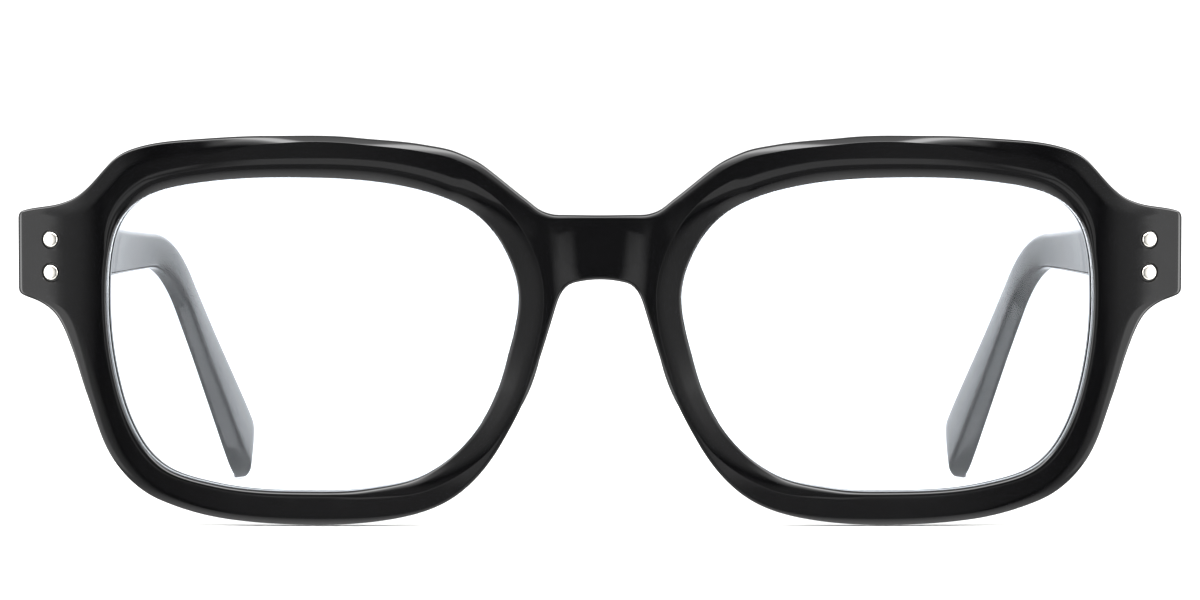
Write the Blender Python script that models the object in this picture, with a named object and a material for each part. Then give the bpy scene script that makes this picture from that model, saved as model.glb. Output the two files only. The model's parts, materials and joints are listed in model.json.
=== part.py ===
"""Black acetate eyeglasses with riveted barrel hinges, open and standing on rims and temple tips.

The front faces -Y, the temples run back along +Y, and +Z is up. Left and right are the wearer's, so
left is +X. Everything is designed on the left half and mirrored for the right one. Lengths are in
millimetres until add_piece turns them into metres.

Heights on the front count from the lens's mid-height line. The front is drawn flat, with u across and
v up, then bent and tilted about the hinge line.
"""

import math

import bmesh
import bpy
from mathutils import Matrix, Vector

METRES = 0.001

# The front: a sheet of acetate, bent slightly across the lens and sharply into the endpiece. The arcs
# run out from the bridge, each a length along the sheet and a radius, and the end stays straight.
FRONT_ARCS = ((61.0, 700.0), (6.0, 30.0))
BEND_STOPS = (61.0, 64.0, 67.0)
FRONT_THICKNESS = 4.2
FRONT_TILT = math.radians(4.0)
EDGE_CHAMFER = 0.5
LENS_CENTRE = (35.2, 0.0)
SQUARED_FROM = 71.2

# Outline anchors: u, v and the heading in degrees. The opening runs counter-clockwise from its nasal
# side. The rim runs from the underside of the bridge, round the lens, to the top of the bridge.
OPENING = [
    (9.95, 4.75, -90), (11.7, -3.9, -75), (15.2, -11.5, -54), (21.2, -16.9, -29), (28.5, -19.0, -9),
    (35.9, -19.4, 0), (47.2, -18.55, 12), (52.8, -17.0, 24), (56.8, -13.2, 58), (59.15, -6.6, 76),
    (60.45, 4.4, 90), (59.65, 12.0, 105), (57.8, 15.4, 133), (50.3, 18.55, 171), (38.7, 19.4, 180),
    (24.2, 18.4, 191), (16.1, 15.6, 211), (11.7, 10.8, 242),
]
RIM = [
    (0.0, 7.05, 0), (3.2, 6.65, -14), (5.3, 3.95, -73), (8.8, -6.7, -68), (12.0, -13.0, -60),
    (17.5, -19.4, -36), (25.5, -22.4, -10), (34.9, -23.15, 0), (45.9, -22.5, 8), (54.2, -20.2, 23),
    (59.5, -15.8, 54), (63.0, -7.5, 70), (65.2, -1.0, 68), (67.1, 2.6, 50), (69.3, 4.15, 24),
    (71.35, 4.9, 26), (71.85, 5.7, 90), (71.85, 14.4, 90), (71.3, 15.25, 162), (67.0, 16.05, 167),
    (64.0, 17.25, 146), (59.8, 21.4, 135), (56.2, 23.2, 165), (48.5, 24.15, 176), (40.7, 24.5, 180),
    (29.8, 24.3, 186), (21.4, 23.45, 190), (17.4, 22.55, 202), (14.0, 20.8, 217), (9.0, 16.85, 217),
    (7.0, 15.4, 203), (5.0, 14.95, 180), (0.0, 14.9, 180),
]

# Columns near the bridge aim higher than their outer points, by this lift, to stay in the sheet.
AIM_LIFT = 7.0
AIM_ACROSS = 7.0
AIM_HEIGHTS = (7.0, 15.0)

# The lens and its groove.
GROOVE_DEPTH = 0.7
GROOVE_HALF_WIDTH = 0.9
GROOVE_SETBACK = 2.1
LENS_HALF_THICKNESS = 0.8
LENS_BEVEL = 0.5
LENS_CLEARANCE = 0.15
LENS_DOME = 1.2
LENS_COLUMNS = 72

# The nose pads, cemented behind the nasal rims. Each ring holds its height behind the rim, its shift
# toward the temple, and its two half-widths.
PAD_CENTRE = (9.7, -3.9)
PAD_LEAN = math.radians(17.0)
PAD_RINGS = [(0.1, 0.0, 1.4, 6.4), (1.6, 0.2, 1.6, 6.2), (3.4, 0.7, 1.4, 5.4), (4.4, 1.0, 0.8, 4.0)]
PAD_SIDES = 20

# The hinge. Its axis stands behind the endpiece's back face.
HINGE_RISE = 9.75
HINGE_ACROSS = 64.7
AXIS_BEHIND = 1.9
KNUCKLE_RADIUS = 1.5
KNUCKLE_HEIGHT = 1.2
KNUCKLE_PITCH = 1.28
BORE_RADIUS = 0.78
LEAF_THICKNESS = 1.0
LEAF_FIT = 0.05
FRONT_LEAF = (-3.6, 3.0, 3.6)
TEMPLE_LEAF = (-0.4, 12.2, 2.3)
ARM_FRONT = 0.3

# Screws and rivets.
SCREW_RADIUS = 0.7
SCREW_HEAD_RADIUS = 1.15
SCREW_HEAD_HEIGHT = 0.7
RIVET_RADIUS = 0.6
RIVET_BORE = 0.65
RIVET_HEAD_RADIUS = 0.95
RIVET_HEAD_HEIGHT = 0.3
RIVET_DISH_RADIUS = 1.2
RIVET_DISH_DEPTH = 0.28
FRONT_RIVET_ACROSS = 0.9
FRONT_RIVET_SPACING = 4.05
TEMPLE_RIVETS = {"front": 4.4, "rear": 9.8}

# The temple: a blade that runs back, toes in toward the head and drops behind the ear.
TEMPLE_GAP = 0.15
TEMPLE_OUTSIDE = 71.45
TEMPLE_LENGTH = 135.0
TEMPLE_RISE = math.radians(1.0)
DROP_START = 79.0
DROP_RADIUS = 24.0
DROP_ANGLE = math.radians(45.0)
TOE_START = 36.0
TOE_LENGTH = 50.0
TOE_FIRST = math.radians(0.5)
TOE_LAST = math.radians(10.7)
BLADE_HEIGHTS = [(0.0, 9.6), (48.0, 7.2), (66.0, 5.9), (80.0, 4.9), (97.0, 5.9), (127.0, 9.6)]
BLADE_THICKNESS = [(0.0, 4.0), (48.0, 3.3), (86.0, 2.9), (108.0, 3.0), (TEMPLE_LENGTH, 3.5)]
BLADE_ROUNDING = 0.8
# The tip: distance from the end, lower edge and upper edge, and the share of the thickness.
TIP = [
    (3.9, -4.8, 4.8, 1.0), (2.9, -4.8, 4.4, 1.0), (1.7, -4.8, 1.2, 1.0), (0.8, -4.7, -1.4, 0.95),
    (0.3, -4.5, -2.9, 0.8), (0.0, -4.2, -3.6, 0.5),
]

# The wire core and its channel, which opens at the butt under the leaf and ends before the tip.
CORE_RADIUS = 0.65
CHANNEL_RADIUS = 0.8
CORE_LOW = 3.25
CORE_LOW_UNTIL = 16.0
CORE_CENTRED_FROM = 36.0
CORE_END = 116.0
CORE_SIDES = 10

COLOURS = {
    "acetate": ((0.012, 0.012, 0.013), 0.12, 0.0),
    "lens": ((0.9, 0.92, 0.92), 0.05, 0.0),
    "nickel_silver": ((0.62, 0.6, 0.55), 0.25, 1.0),
    "steel": ((0.55, 0.56, 0.58), 0.3, 1.0),
}


def clear_scene():
    for existing in list(bpy.data.objects):
        bpy.data.objects.remove(existing)


# ---------------------------------------------------------------------------- curves and placement


def along(stops, distance):
    """The value at a distance, read between (distance, value) stops."""
    for (start, first), (end, last) in zip(stops, stops[1:]):
        if distance <= end:
            share = max(0.0, (distance - start) / (end - start))
            return first + (last - first) * share
    return stops[-1][1]


def smooth_outline(anchors, closed, spacing):
    """Points of a smooth curve through the anchors, each leg a cubic that keeps both headings."""
    ends = anchors[1:] + (anchors[:1] if closed else [])
    points = []
    for (u0, v0, heading0), (u1, v1, heading1) in zip(anchors, ends):
        start = Vector((u0, v0))
        end = Vector((u1, v1))
        turn = math.radians((heading1 - heading0 + 180) % 360 - 180)
        chord = (end - start).length
        handle = chord / (3 * math.cos(turn / 4) ** 2)
        after = start + handle * Vector((math.cos(math.radians(heading0)), math.sin(math.radians(heading0))))
        before = end - handle * Vector((math.cos(math.radians(heading1)), math.sin(math.radians(heading1))))
        steps = max(2, round(chord / spacing))
        for step in range(steps):
            t = step / steps
            s = 1 - t
            points.append(s ** 3 * start + 3 * s * s * t * after + 3 * s * t * t * before + t ** 3 * end)
    if not closed:
        points.append(Vector(anchors[-1][:2]))
    return points


def outward_normals(points, closed):
    """Unit normals to the right of each point's direction of travel."""
    normals = []
    count = len(points)
    for index in range(count):
        before = points[index - 1] if closed or index > 0 else points[index]
        after = points[(index + 1) % count] if closed or index < count - 1 else points[index]
        direction = (after - before).normalized()
        normals.append(Vector((direction.y, -direction.x)))
    return normals


def ray_to_loop(centre, target, loop):
    """Where the ray from the centre toward the target leaves a loop around the centre."""
    direction = (target - centre).normalized()
    for start, end in zip(loop, loop[1:] + loop[:1]):
        edge = end - start
        across = direction.x * edge.y - direction.y * edge.x
        if abs(across) < 1e-9:
            continue
        offset = start - centre
        reach = (offset.x * edge.y - offset.y * edge.x) / across
        share = (offset.x * direction.y - offset.y * direction.x) / across
        if reach > 0 and -1e-9 <= share <= 1 + 1e-9:
            return centre + direction * reach
    raise ValueError("the ray misses the loop")


def bent_sheet(u):
    """Where the bent front's face lies at u, and how far it has turned."""
    x = y = turned_by = 0.0
    left = u
    for length, radius in FRONT_ARCS:
        run = min(left, length)
        after = turned_by + run / radius
        x += radius * (math.sin(after) - math.sin(turned_by))
        y += radius * (math.cos(turned_by) - math.cos(after))
        turned_by = after
        left -= run
    return x + left * math.cos(turned_by), y + left * math.sin(turned_by), turned_by


def sheet_point(u, v, depth):
    """A point of the bent front before the tilt, at a depth behind its face."""
    x, y, turned_by = bent_sheet(u)
    return Vector((x - depth * math.sin(turned_by), y + depth * math.cos(turned_by), v))


def front_point(u, v, depth):
    """A point of the front in its place. The endpiece's end is squared to run along the temple."""
    if u > SQUARED_FROM:
        u += depth * math.tan(ENDPIECE_TURN)
    return TILT @ sheet_point(u, v, depth)


def axis_foot():
    """The hinge axis's middle: behind the endpiece's straight back face, before the tilt."""
    back = sheet_point(RIM_END, HINGE_RISE, FRONT_THICKNESS + AXIS_BEHIND)
    inward = HINGE_ACROSS - back.x
    return back + Vector((inward, inward * math.tan(ENDPIECE_TURN), 0))


def axis_matrix(turn):
    """The hinge axis's frame, turned by the given angle about the axis."""
    return TILT @ Matrix.Translation(AXIS_FOOT) @ Matrix.Rotation(turn, 4, "Z")


RIM_END = max(u for u, _, _ in RIM)
ENDPIECE_TURN = bent_sheet(RIM_END)[2]
AXIS_FOOT = axis_foot()
TILT = (
    Matrix.Translation((0, AXIS_FOOT.y, HINGE_RISE))
    @ Matrix.Rotation(FRONT_TILT, 4, "X")
    @ Matrix.Translation((0, -AXIS_FOOT.y, -HINGE_RISE))
)
ENDPIECE_FRAME = axis_matrix(ENDPIECE_TURN)
TEMPLE_SIDE_FRAME = axis_matrix(0.0)


# ---------------------------------------------------------------------------- solids as points and faces


def capped_loft(rings):
    """Rings of equal count joined in order, with flat ends."""
    count = len(rings[0])
    vertices = [point for ring in rings for point in ring]
    faces = []
    for level in range(len(rings) - 1):
        for index in range(count):
            after = (index + 1) % count
            base = level * count
            faces.append((base + index, base + after, base + count + after, base + count + index))
    faces.append(tuple(range(count))[::-1])
    faces.append(tuple(range(len(vertices) - count, len(vertices))))
    return vertices, faces


def placed(shape, matrix):
    vertices, faces = shape
    return [matrix @ Vector(vertex) for vertex in vertices], faces


def box(low, high):
    ring = [(low[0], low[1]), (high[0], low[1]), (high[0], high[1]), (low[0], high[1])]
    return capped_loft([[Vector((x, y, z)) for x, y in ring] for z in (low[2], high[2])])


def turned(profile, sides):
    """A turned piece along +Z from (radius, z) steps that climb."""
    rings = []
    for radius, z in profile:
        angles = [2 * math.pi * index / sides for index in range(sides)]
        rings.append([Vector((radius * math.cos(a), radius * math.sin(a), z)) for a in angles])
    return capped_loft(rings)


def extruded(outline, low, high):
    return capped_loft([[Vector((x, y, z)) for x, y in outline] for z in (low, high)])


# ---------------------------------------------------------------------------- the shapes of the pieces


def aim_point(point):
    """Where the column through an outer point is aimed from the lens's centre."""
    low, high = AIM_HEIGHTS
    across = max(0.0, 1 - point.x / AIM_ACROSS)
    height = min(max((high - point.y) / (high - low), 0.0), 1.0)
    return point + Vector((0, AIM_LIFT * across * height))


def between_points(inner, outer):
    """Points from the opening to the rim, at the sharp bend's stops where the column crosses it."""
    shares = (0.25, 0.5, 0.75)
    if inner.x < BEND_STOPS[0] and outer.x > BEND_STOPS[-1] + 1:
        shares = [(stop - inner.x) / (outer.x - inner.x) for stop in BEND_STOPS]
    return [inner.lerp(outer, share) for share in shares]


def front_half_shape():
    """Half of the front: a ring of columns round the opening, each from the lens groove to the rim."""
    centre = Vector(LENS_CENTRE)
    opening = smooth_outline(OPENING, True, 1.5)
    rim = smooth_outline(RIM, False, 2.4)
    bridge_top, bridge_bottom = rim[-1], rim[0]
    middle = [bridge_top.lerp(bridge_bottom, share) for share in (0.33, 0.67)]
    outer = rim + middle
    inner = [ray_to_loop(centre, aim_point(point), opening) for point in outer]
    inner_normals = outward_normals(inner, True)
    rim_normals = outward_normals(rim, False)
    rim_normals[0] = Vector((0, -1))
    rim_normals[-1] = Vector((0, 1))

    back = FRONT_THICKNESS
    inner_section = [
        (EDGE_CHAMFER, 0.0), (0.0, EDGE_CHAMFER), (0.0, GROOVE_SETBACK - GROOVE_HALF_WIDTH),
        (GROOVE_DEPTH, GROOVE_SETBACK), (0.0, GROOVE_SETBACK + GROOVE_HALF_WIDTH),
        (0.0, back - EDGE_CHAMFER), (EDGE_CHAMFER, back),
    ]
    outer_section = [
        (EDGE_CHAMFER, back), (0.0, back - EDGE_CHAMFER), (0.0, EDGE_CHAMFER), (EDGE_CHAMFER, 0.0)]

    vertices = []
    columns = []
    for index, point in enumerate(outer):
        between = between_points(inner[index], point)
        places = [(inner[index] + inner_normals[index] * inset, depth) for inset, depth in inner_section]
        places += [(place, back) for place in between]
        if index < len(rim):
            places += [(point - rim_normals[index] * inset, depth) for inset, depth in outer_section]
        else:
            places += [(point, back), (point, 0.0)]
        places += [(place, 0.0) for place in reversed(between)]
        columns.append(range(len(vertices), len(vertices) + len(places)))
        vertices += [front_point(place.x, place.y, depth) for place, depth in places]

    faces = []
    face_rows = len(BEND_STOPS) + 1
    wall_row = len(inner_section) + len(BEND_STOPS)
    for index, column in enumerate(columns):
        after = columns[(index + 1) % len(columns)]
        last_row = wall_row + len(outer_section) - 1 if index < len(rim) - 1 else wall_row
        rows = [*range(last_row), *range(-face_rows, 0)]
        faces += [(column[row], column[row + 1], after[row + 1], after[row]) for row in rows]
    return vertices, faces


def lens_shape():
    """A domed plate whose bevelled edge sits in the groove."""
    outline = smooth_outline(OPENING, True, 2.0)
    centre = Vector(LENS_CENTRE)
    rays = [centre + Vector((math.cos(a), math.sin(a)))
            for a in (2 * math.pi * index / LENS_COLUMNS for index in range(LENS_COLUMNS))]
    edge = [ray_to_loop(centre, ray, outline) for ray in rays]
    normals = outward_normals(edge, True)

    def ring(share, grow, depth):
        points = [centre.lerp(point + normal * grow, share) for point, normal in zip(edge, normals)]
        return [front_point(point.x, point.y, depth) for point in points]

    def face_rings(depth):
        shares = (0.08, 0.4, 0.75, 1.0)
        return [ring(share, -LENS_CLEARANCE, depth - LENS_DOME * (1 - share ** 2)) for share in shares]

    front = face_rings(GROOVE_SETBACK - LENS_HALF_THICKNESS)
    back = face_rings(GROOVE_SETBACK + LENS_HALF_THICKNESS)
    bevel = [ring(1.0, LENS_BEVEL, GROOVE_SETBACK)]
    return capped_loft(back + bevel + front[::-1])


def nose_pad_shape():
    lean = Matrix.Rotation(PAD_LEAN, 2)
    rings = []
    for height, shift, half_width, half_length in PAD_RINGS:
        ring = []
        for index in range(PAD_SIDES):
            angle = 2 * math.pi * index / PAD_SIDES
            offset = lean @ Vector((half_width * math.cos(angle), half_length * math.sin(angle)))
            ring.append(front_point(
                PAD_CENTRE[0] + shift + offset.x, PAD_CENTRE[1] + offset.y, FRONT_THICKNESS + height))
        rings.append(ring)
    return capped_loft(rings[::-1])


def knuckle_outline(reach, low_side, high_side, sides=16):
    """A knuckle's round end about the axis with an arm along +X to the given reach."""
    angles = [math.radians(90 + 180 * index / sides) for index in range(sides + 1)]
    round_end = [(KNUCKLE_RADIUS * math.cos(a), KNUCKLE_RADIUS * math.sin(a)) for a in angles]
    lower = [(0.0, -KNUCKLE_RADIUS)] if low_side >= KNUCKLE_RADIUS else [
        (KNUCKLE_RADIUS * math.cos(math.radians(a)), KNUCKLE_RADIUS * math.sin(math.radians(a)))
        for a in (-75, -60, -45)]
    return round_end[:-1] + lower + [(reach, -low_side), (reach, high_side)]


def knuckles(numbers, outline):
    """Equal lugs at the given places of the five-knuckle barrel, counted from the middle."""
    lugs = []
    for number in numbers:
        middle = number * KNUCKLE_PITCH
        lugs.append(extruded(outline, middle - KNUCKLE_HEIGHT / 2, middle + KNUCKLE_HEIGHT / 2))
    return lugs


def rivet_shape(length):
    """A rivet along +Z with its head's face just proud of z = 0 and its shank ending at the length."""
    head = RIVET_HEAD_HEIGHT - 0.08
    return turned([
        (RIVET_HEAD_RADIUS - 0.15, -0.08), (RIVET_HEAD_RADIUS, 0.05), (RIVET_HEAD_RADIUS, head),
        (RIVET_RADIUS, head), (RIVET_RADIUS, length)], 20)


def rivet_bore_shape(length):
    return turned([
        (RIVET_DISH_RADIUS, -0.6), (RIVET_DISH_RADIUS, RIVET_DISH_DEPTH),
        (RIVET_BORE, RIVET_DISH_DEPTH), (RIVET_BORE, length)], 24)


def screw_shape():
    top = 2.5 * KNUCKLE_PITCH + 0.02
    bottom = -top - 0.2
    return turned([
        (SCREW_RADIUS - 0.15, bottom), (SCREW_RADIUS, bottom + 0.2), (SCREW_RADIUS, top),
        (SCREW_HEAD_RADIUS, top), (SCREW_HEAD_RADIUS, top + SCREW_HEAD_HEIGHT - 0.2),
        (SCREW_HEAD_RADIUS - 0.25, top + SCREW_HEAD_HEIGHT)], 20)


# ---------------------------------------------------------------------------- the temple's path


def temple_stations(step=1.0):
    """Places along the temple's middle: distance, point, and the blade's thickness and height axes."""
    stations = []
    point = Vector((TEMPLE_OUTSIDE - BLADE_THICKNESS[0][1] / 2, butt_depth(), HINGE_RISE))
    distance = 0.0
    while distance <= TEMPLE_LENGTH + 1e-6:
        pitch = TEMPLE_RISE - min(max((distance - DROP_START) / DROP_RADIUS, 0.0), DROP_ANGLE)
        share = min(max((distance - TOE_START) / TOE_LENGTH, 0.0), 1.0)
        toe = TOE_FIRST + (TOE_LAST - TOE_FIRST) * share
        forward = Vector((-math.sin(toe), math.cos(toe) * math.cos(pitch), math.cos(toe) * math.sin(pitch)))
        upward = Vector((0.0, -math.sin(pitch), math.cos(pitch)))
        stations.append((distance, point.copy(), forward.cross(upward), upward))
        point += forward * step
        distance += step
    return stations


def butt_depth():
    """How far back the temple's butt starts, level with the middle of its thickness."""
    middle = TEMPLE_OUTSIDE - BLADE_THICKNESS[0][1] / 2
    return butt_slide(Vector((middle, 0.0, HINGE_RISE))).y


def butt_slide(point):
    """The point moved along Y onto the butt plane, just behind the endpiece's back face."""
    normal = ENDPIECE_FRAME.to_3x3() @ Vector((0, 1, 0))
    foot = ENDPIECE_FRAME @ Vector((0, TEMPLE_GAP - AXIS_BEHIND, 0))
    slide = (foot - point).dot(normal) / normal.y
    return point + Vector((0, slide, 0))


def station_at(distance):
    stations = temple_stations()
    index = min(int(distance), len(stations) - 2)
    _, first, across, upward = stations[index]
    _, last, _, _ = stations[index + 1]
    return first.lerp(last, distance - index), across, upward


def blade_ring(distance, low, high, thickness):
    """A rounded rectangle round the temple's middle."""
    middle, across, upward = station_at(distance)
    half = thickness / 2
    rounding = min(BLADE_ROUNDING, half * 0.8, (high - low) * 0.4)
    ring = []
    corners = [(half, high, 0), (-half, high, 90), (-half, low, 180), (half, low, 270)]
    for x, z, start in corners:
        centre_x = x - math.copysign(rounding, x)
        centre_z = z - rounding if z == high else z + rounding
        for angle in (start, start + 45, start + 90):
            offset_x = centre_x + rounding * math.cos(math.radians(angle))
            offset_z = centre_z + rounding * math.sin(math.radians(angle))
            ring.append(middle + across * offset_x + upward * offset_z)
    return ring


def temple_shape():
    """The blade, from its mitred butt to its slanted tip."""
    places = [0.0, 6.0, 14.0, 30.0, 44.0, 58.0]
    places += [DROP_START + 3.5 * index for index in range(8)]
    places += [109.0, 118.0]
    rings = []
    for place in places:
        half = along(BLADE_HEIGHTS, place) / 2
        rings.append(blade_ring(place, -half, half, along(BLADE_THICKNESS, place)))
    rings[0] = [butt_slide(point) for point in rings[0]]
    for left, low, high, share in TIP:
        place = TEMPLE_LENGTH - left
        rings.append(blade_ring(place, low, high, share * along(BLADE_THICKNESS, place)))
    return capped_loft([ring[::-1] for ring in rings])


def core_shape(radius, start, end):
    """A round wire along the temple, low under the leaf at first and then in the blade's middle."""
    drop = [(CORE_LOW_UNTIL, -CORE_LOW), (CORE_CENTRED_FROM, 0.0)]
    places = [start, CORE_LOW_UNTIL, 26.0, CORE_CENTRED_FROM, 50.0, DROP_START]
    places += [DROP_START + 4.0 * index for index in range(1, 7)]
    places.append(end)
    rings = []
    for place in places:
        middle, across, upward = station_at(max(place, 0.0))
        middle = middle + upward * along(drop, place)
        if place < 0:
            middle += Vector((0, place, 0))
        ring = []
        for index in range(CORE_SIDES):
            angle = -2 * math.pi * index / CORE_SIDES
            ring.append(middle + across * radius * math.cos(angle) + upward * radius * math.sin(angle))
        rings.append(ring)
    return capped_loft(rings)


# ---------------------------------------------------------------------------- objects


def make_material(name):
    colour, roughness, metallic = COLOURS[name]
    material = bpy.data.materials.new(name)
    material.use_nodes = True
    shader = material.node_tree.nodes["Principled BSDF"]
    shader.inputs["Base Color"].default_value = (*colour, 1.0)
    shader.inputs["Roughness"].default_value = roughness
    shader.inputs["Metallic"].default_value = metallic
    return material


def add_piece(name, shapes, material, side=1, pivot=None):
    """One mesh object from one or more closed shapes, mirrored for the right side."""
    mesh = bmesh.new()
    origin = pivot.copy() if pivot else Vector((0, 0, 0))
    for vertices, faces in shapes:
        made = []
        for vertex in vertices:
            place = (vertex + STAND) * METRES
            made.append(mesh.verts.new((side * place.x - origin.x, place.y - origin.y, place.z - origin.z)))
        for face in faces:
            corners = [made[index] for index in face]
            mesh.faces.new(corners if side > 0 else corners[::-1])
    data = bpy.data.meshes.new(name)
    mesh.to_mesh(data)
    mesh.free()
    data.shade_smooth()
    data.set_sharp_from_angle(angle=math.radians(35))
    piece = bpy.data.objects.new(name, data)
    piece.location = origin
    if material:
        data.materials.append(MATERIALS[material].copy())
    bpy.context.scene.collection.objects.link(piece)
    return piece


def use_tool(piece, name, shapes, operation="DIFFERENCE", side=1):
    """Cut or join a piece with hidden tool solids."""
    tool = add_piece(name, shapes, None, side)
    tool.hide_render = True
    tool.display_type = "WIRE"
    modifier = piece.modifiers.new(name, "BOOLEAN")
    modifier.operation = operation
    modifier.solver = "EXACT"
    modifier.object = tool


def front_rivet_frame(height):
    """The frame of a front rivet: z runs from the front face back into the endpiece."""
    face = Matrix.Translation((FRONT_RIVET_ACROSS, -AXIS_BEHIND - FRONT_THICKNESS, height))
    return ENDPIECE_FRAME @ face @ Matrix.Rotation(math.radians(-90), 4, "X")


def temple_rivet_frame(distance):
    """The frame of a temple rivet: z runs from the outer face in toward the leaf."""
    middle, across, _ = station_at(distance)
    face = middle + across * along(BLADE_THICKNESS, distance) / 2
    return Matrix.Translation(face) @ Matrix.Rotation(math.radians(-90), 4, "Y")


def add_front():
    half = front_half_shape()
    mirrored = ([Vector((-v.x, v.y, v.z)) for v in half[0]], [face[::-1] for face in half[1]])
    piece = add_piece("front_frame", [half, mirrored], "acetate")
    mesh = bmesh.new()
    mesh.from_mesh(piece.data)
    bmesh.ops.remove_doubles(mesh, verts=mesh.verts, dist=1e-6)
    mesh.to_mesh(piece.data)
    mesh.free()
    low_x, high_x, half_height = FRONT_LEAF
    pocket = box(
        (low_x - LEAF_FIT, -AXIS_BEHIND - LEAF_THICKNESS - LEAF_FIT, -half_height - LEAF_FIT),
        (high_x + LEAF_FIT, 1.0, half_height + LEAF_FIT))
    bores = [placed(rivet_bore_shape(FRONT_THICKNESS), front_rivet_frame(height))
             for height in (FRONT_RIVET_SPACING / 2, -FRONT_RIVET_SPACING / 2)]
    for side, word in SIDES:
        use_tool(piece, f"cut_leaf_pocket_{word}", [placed(pocket, ENDPIECE_FRAME)], side=side)
        use_tool(piece, f"cut_front_rivets_{word}", bores, side=side)


def add_front_fittings(side, word):
    """The lens, nose pad, front leaf, screw and front rivets of one side."""
    add_piece(f"lens_{word}", [lens_shape()], "lens", side)
    add_piece(f"nose_pad_{word}", [nose_pad_shape()], "acetate", side)

    low_x, high_x, half_height = FRONT_LEAF
    plate = box((low_x, -AXIS_BEHIND - LEAF_THICKNESS, -half_height), (high_x, -AXIS_BEHIND, half_height))
    leaf = add_piece(f"front_hinge_leaf_{word}", [placed(plate, ENDPIECE_FRAME)], "nickel_silver", side)
    upright = ENDPIECE_FRAME @ Matrix.Rotation(math.radians(-90), 4, "Z")
    outline = knuckle_outline(AXIS_BEHIND + 0.1, KNUCKLE_RADIUS, KNUCKLE_RADIUS)
    lugs = [placed(lug, upright) for lug in knuckles((-2, 0, 2), outline)]
    use_tool(leaf, f"front_knuckles_{word}", lugs, "UNION", side)
    hinge_bore = turned([(BORE_RADIUS, -4.5), (BORE_RADIUS, 4.5)], 24)
    plate_front = FRONT_THICKNESS - LEAF_THICKNESS
    rivet_bore = turned([(RIVET_BORE, plate_front - 0.5), (RIVET_BORE, FRONT_THICKNESS + 0.05)], 24)
    heights = {"upper": FRONT_RIVET_SPACING / 2, "lower": -FRONT_RIVET_SPACING / 2}
    cuts = [placed(hinge_bore, ENDPIECE_FRAME)]
    cuts += [placed(rivet_bore, front_rivet_frame(height)) for height in heights.values()]
    use_tool(leaf, f"cut_front_leaf_{word}", cuts, side=side)

    add_piece(f"hinge_screw_{word}", [placed(screw_shape(), ENDPIECE_FRAME)], "steel", side)
    for level, height in heights.items():
        rivet = placed(rivet_shape(FRONT_THICKNESS - 0.1), front_rivet_frame(height))
        add_piece(f"front_rivet_{level}_{word}", [rivet], "nickel_silver", side)


def add_temple(side, word):
    """The temple, its core, its leaf and its rivets, all hung on the hinge axis."""
    foot = (AXIS_FOOT + STAND) * METRES
    pivot = Vector((side * foot.x, foot.y, foot.z))
    blade = add_piece(f"temple_{word}", [temple_shape()], "acetate", side, pivot)
    start, end, half_height = TEMPLE_LEAF
    start += AXIS_FOOT.y
    end += AXIS_FOOT.y
    inside = TEMPLE_OUTSIDE - BLADE_THICKNESS[0][1]
    pocket = box(
        (inside - 1.0, start - LEAF_FIT, HINGE_RISE - half_height - LEAF_FIT),
        (inside + LEAF_THICKNESS + LEAF_FIT, end + LEAF_FIT, HINGE_RISE + half_height + LEAF_FIT))
    use_tool(blade, f"cut_temple_pocket_{word}", [pocket], side=side)
    bores = [placed(rivet_bore_shape(BLADE_THICKNESS[0][1] + 0.5), temple_rivet_frame(distance))
             for distance in TEMPLE_RIVETS.values()]
    use_tool(blade, f"cut_temple_rivets_{word}", bores, side=side)
    use_tool(blade, f"cut_channel_{word}", [core_shape(CHANNEL_RADIUS, -3.0, CORE_END + 0.5)], side=side)
    add_piece(f"temple_core_{word}", [core_shape(CORE_RADIUS, 1.0, CORE_END)], "steel", side, pivot)

    plate = box(
        (inside, start, HINGE_RISE - half_height),
        (inside + LEAF_THICKNESS, end, HINGE_RISE + half_height))
    leaf = add_piece(f"temple_hinge_leaf_{word}", [plate], "nickel_silver", side, pivot)
    outline = knuckle_outline(inside - HINGE_ACROSS + 0.1, ARM_FRONT, KNUCKLE_RADIUS)
    lugs = [placed(lug, TEMPLE_SIDE_FRAME) for lug in knuckles((-1, 1), outline)]
    use_tool(leaf, f"temple_knuckles_{word}", lugs, "UNION", side)
    cuts = [placed(turned([(BORE_RADIUS, -4.5), (BORE_RADIUS, 4.5)], 24), TEMPLE_SIDE_FRAME)]
    cuts += [placed(turned([(RIVET_BORE, 1.0), (RIVET_BORE, 5.0)], 24), temple_rivet_frame(distance))
             for distance in TEMPLE_RIVETS.values()]
    use_tool(leaf, f"cut_temple_leaf_{word}", cuts, side=side)
    for place, distance in TEMPLE_RIVETS.items():
        rivet = placed(rivet_shape(BLADE_THICKNESS[0][1] - 0.2), temple_rivet_frame(distance))
        add_piece(f"temple_rivet_{place}_{word}", [rivet], "nickel_silver", side, pivot)


def standing_shift():
    """The shift that puts the origin under the middle of the whole object's box."""
    points = front_half_shape()[0] + temple_shape()[0]
    depths = [point.y for point in points]
    return Vector((0, -(min(depths) + max(depths)) / 2, -min(point.z for point in points)))


SIDES = ((1, "left"), (-1, "right"))
clear_scene()
MATERIALS = {name: make_material(name) for name in COLOURS}
STAND = standing_shift()
add_front()
for side, word in SIDES:
    add_front_fittings(side, word)
    add_temple(side, word)
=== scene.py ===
# %% [markdown]
# # Black acetate eyeglasses
#
# This lesson dresses a imported model of a pair of spectacles. The imported model holds the exact pieces and
# the two hinge axes. Each cell below builds one visible piece with finer meshes: the milled front, the
# lenses, the riveted hinges and the temples. The last cells make the finishes, the floor and the light.
#
# The first cell loads the imported frame, which stays fixed, and keeps its box to print beside the finished
# one at the end.

# %% Load the imported frame
import json
import math

import bmesh
import bpy
from mathutils import Matrix, Vector


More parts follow.
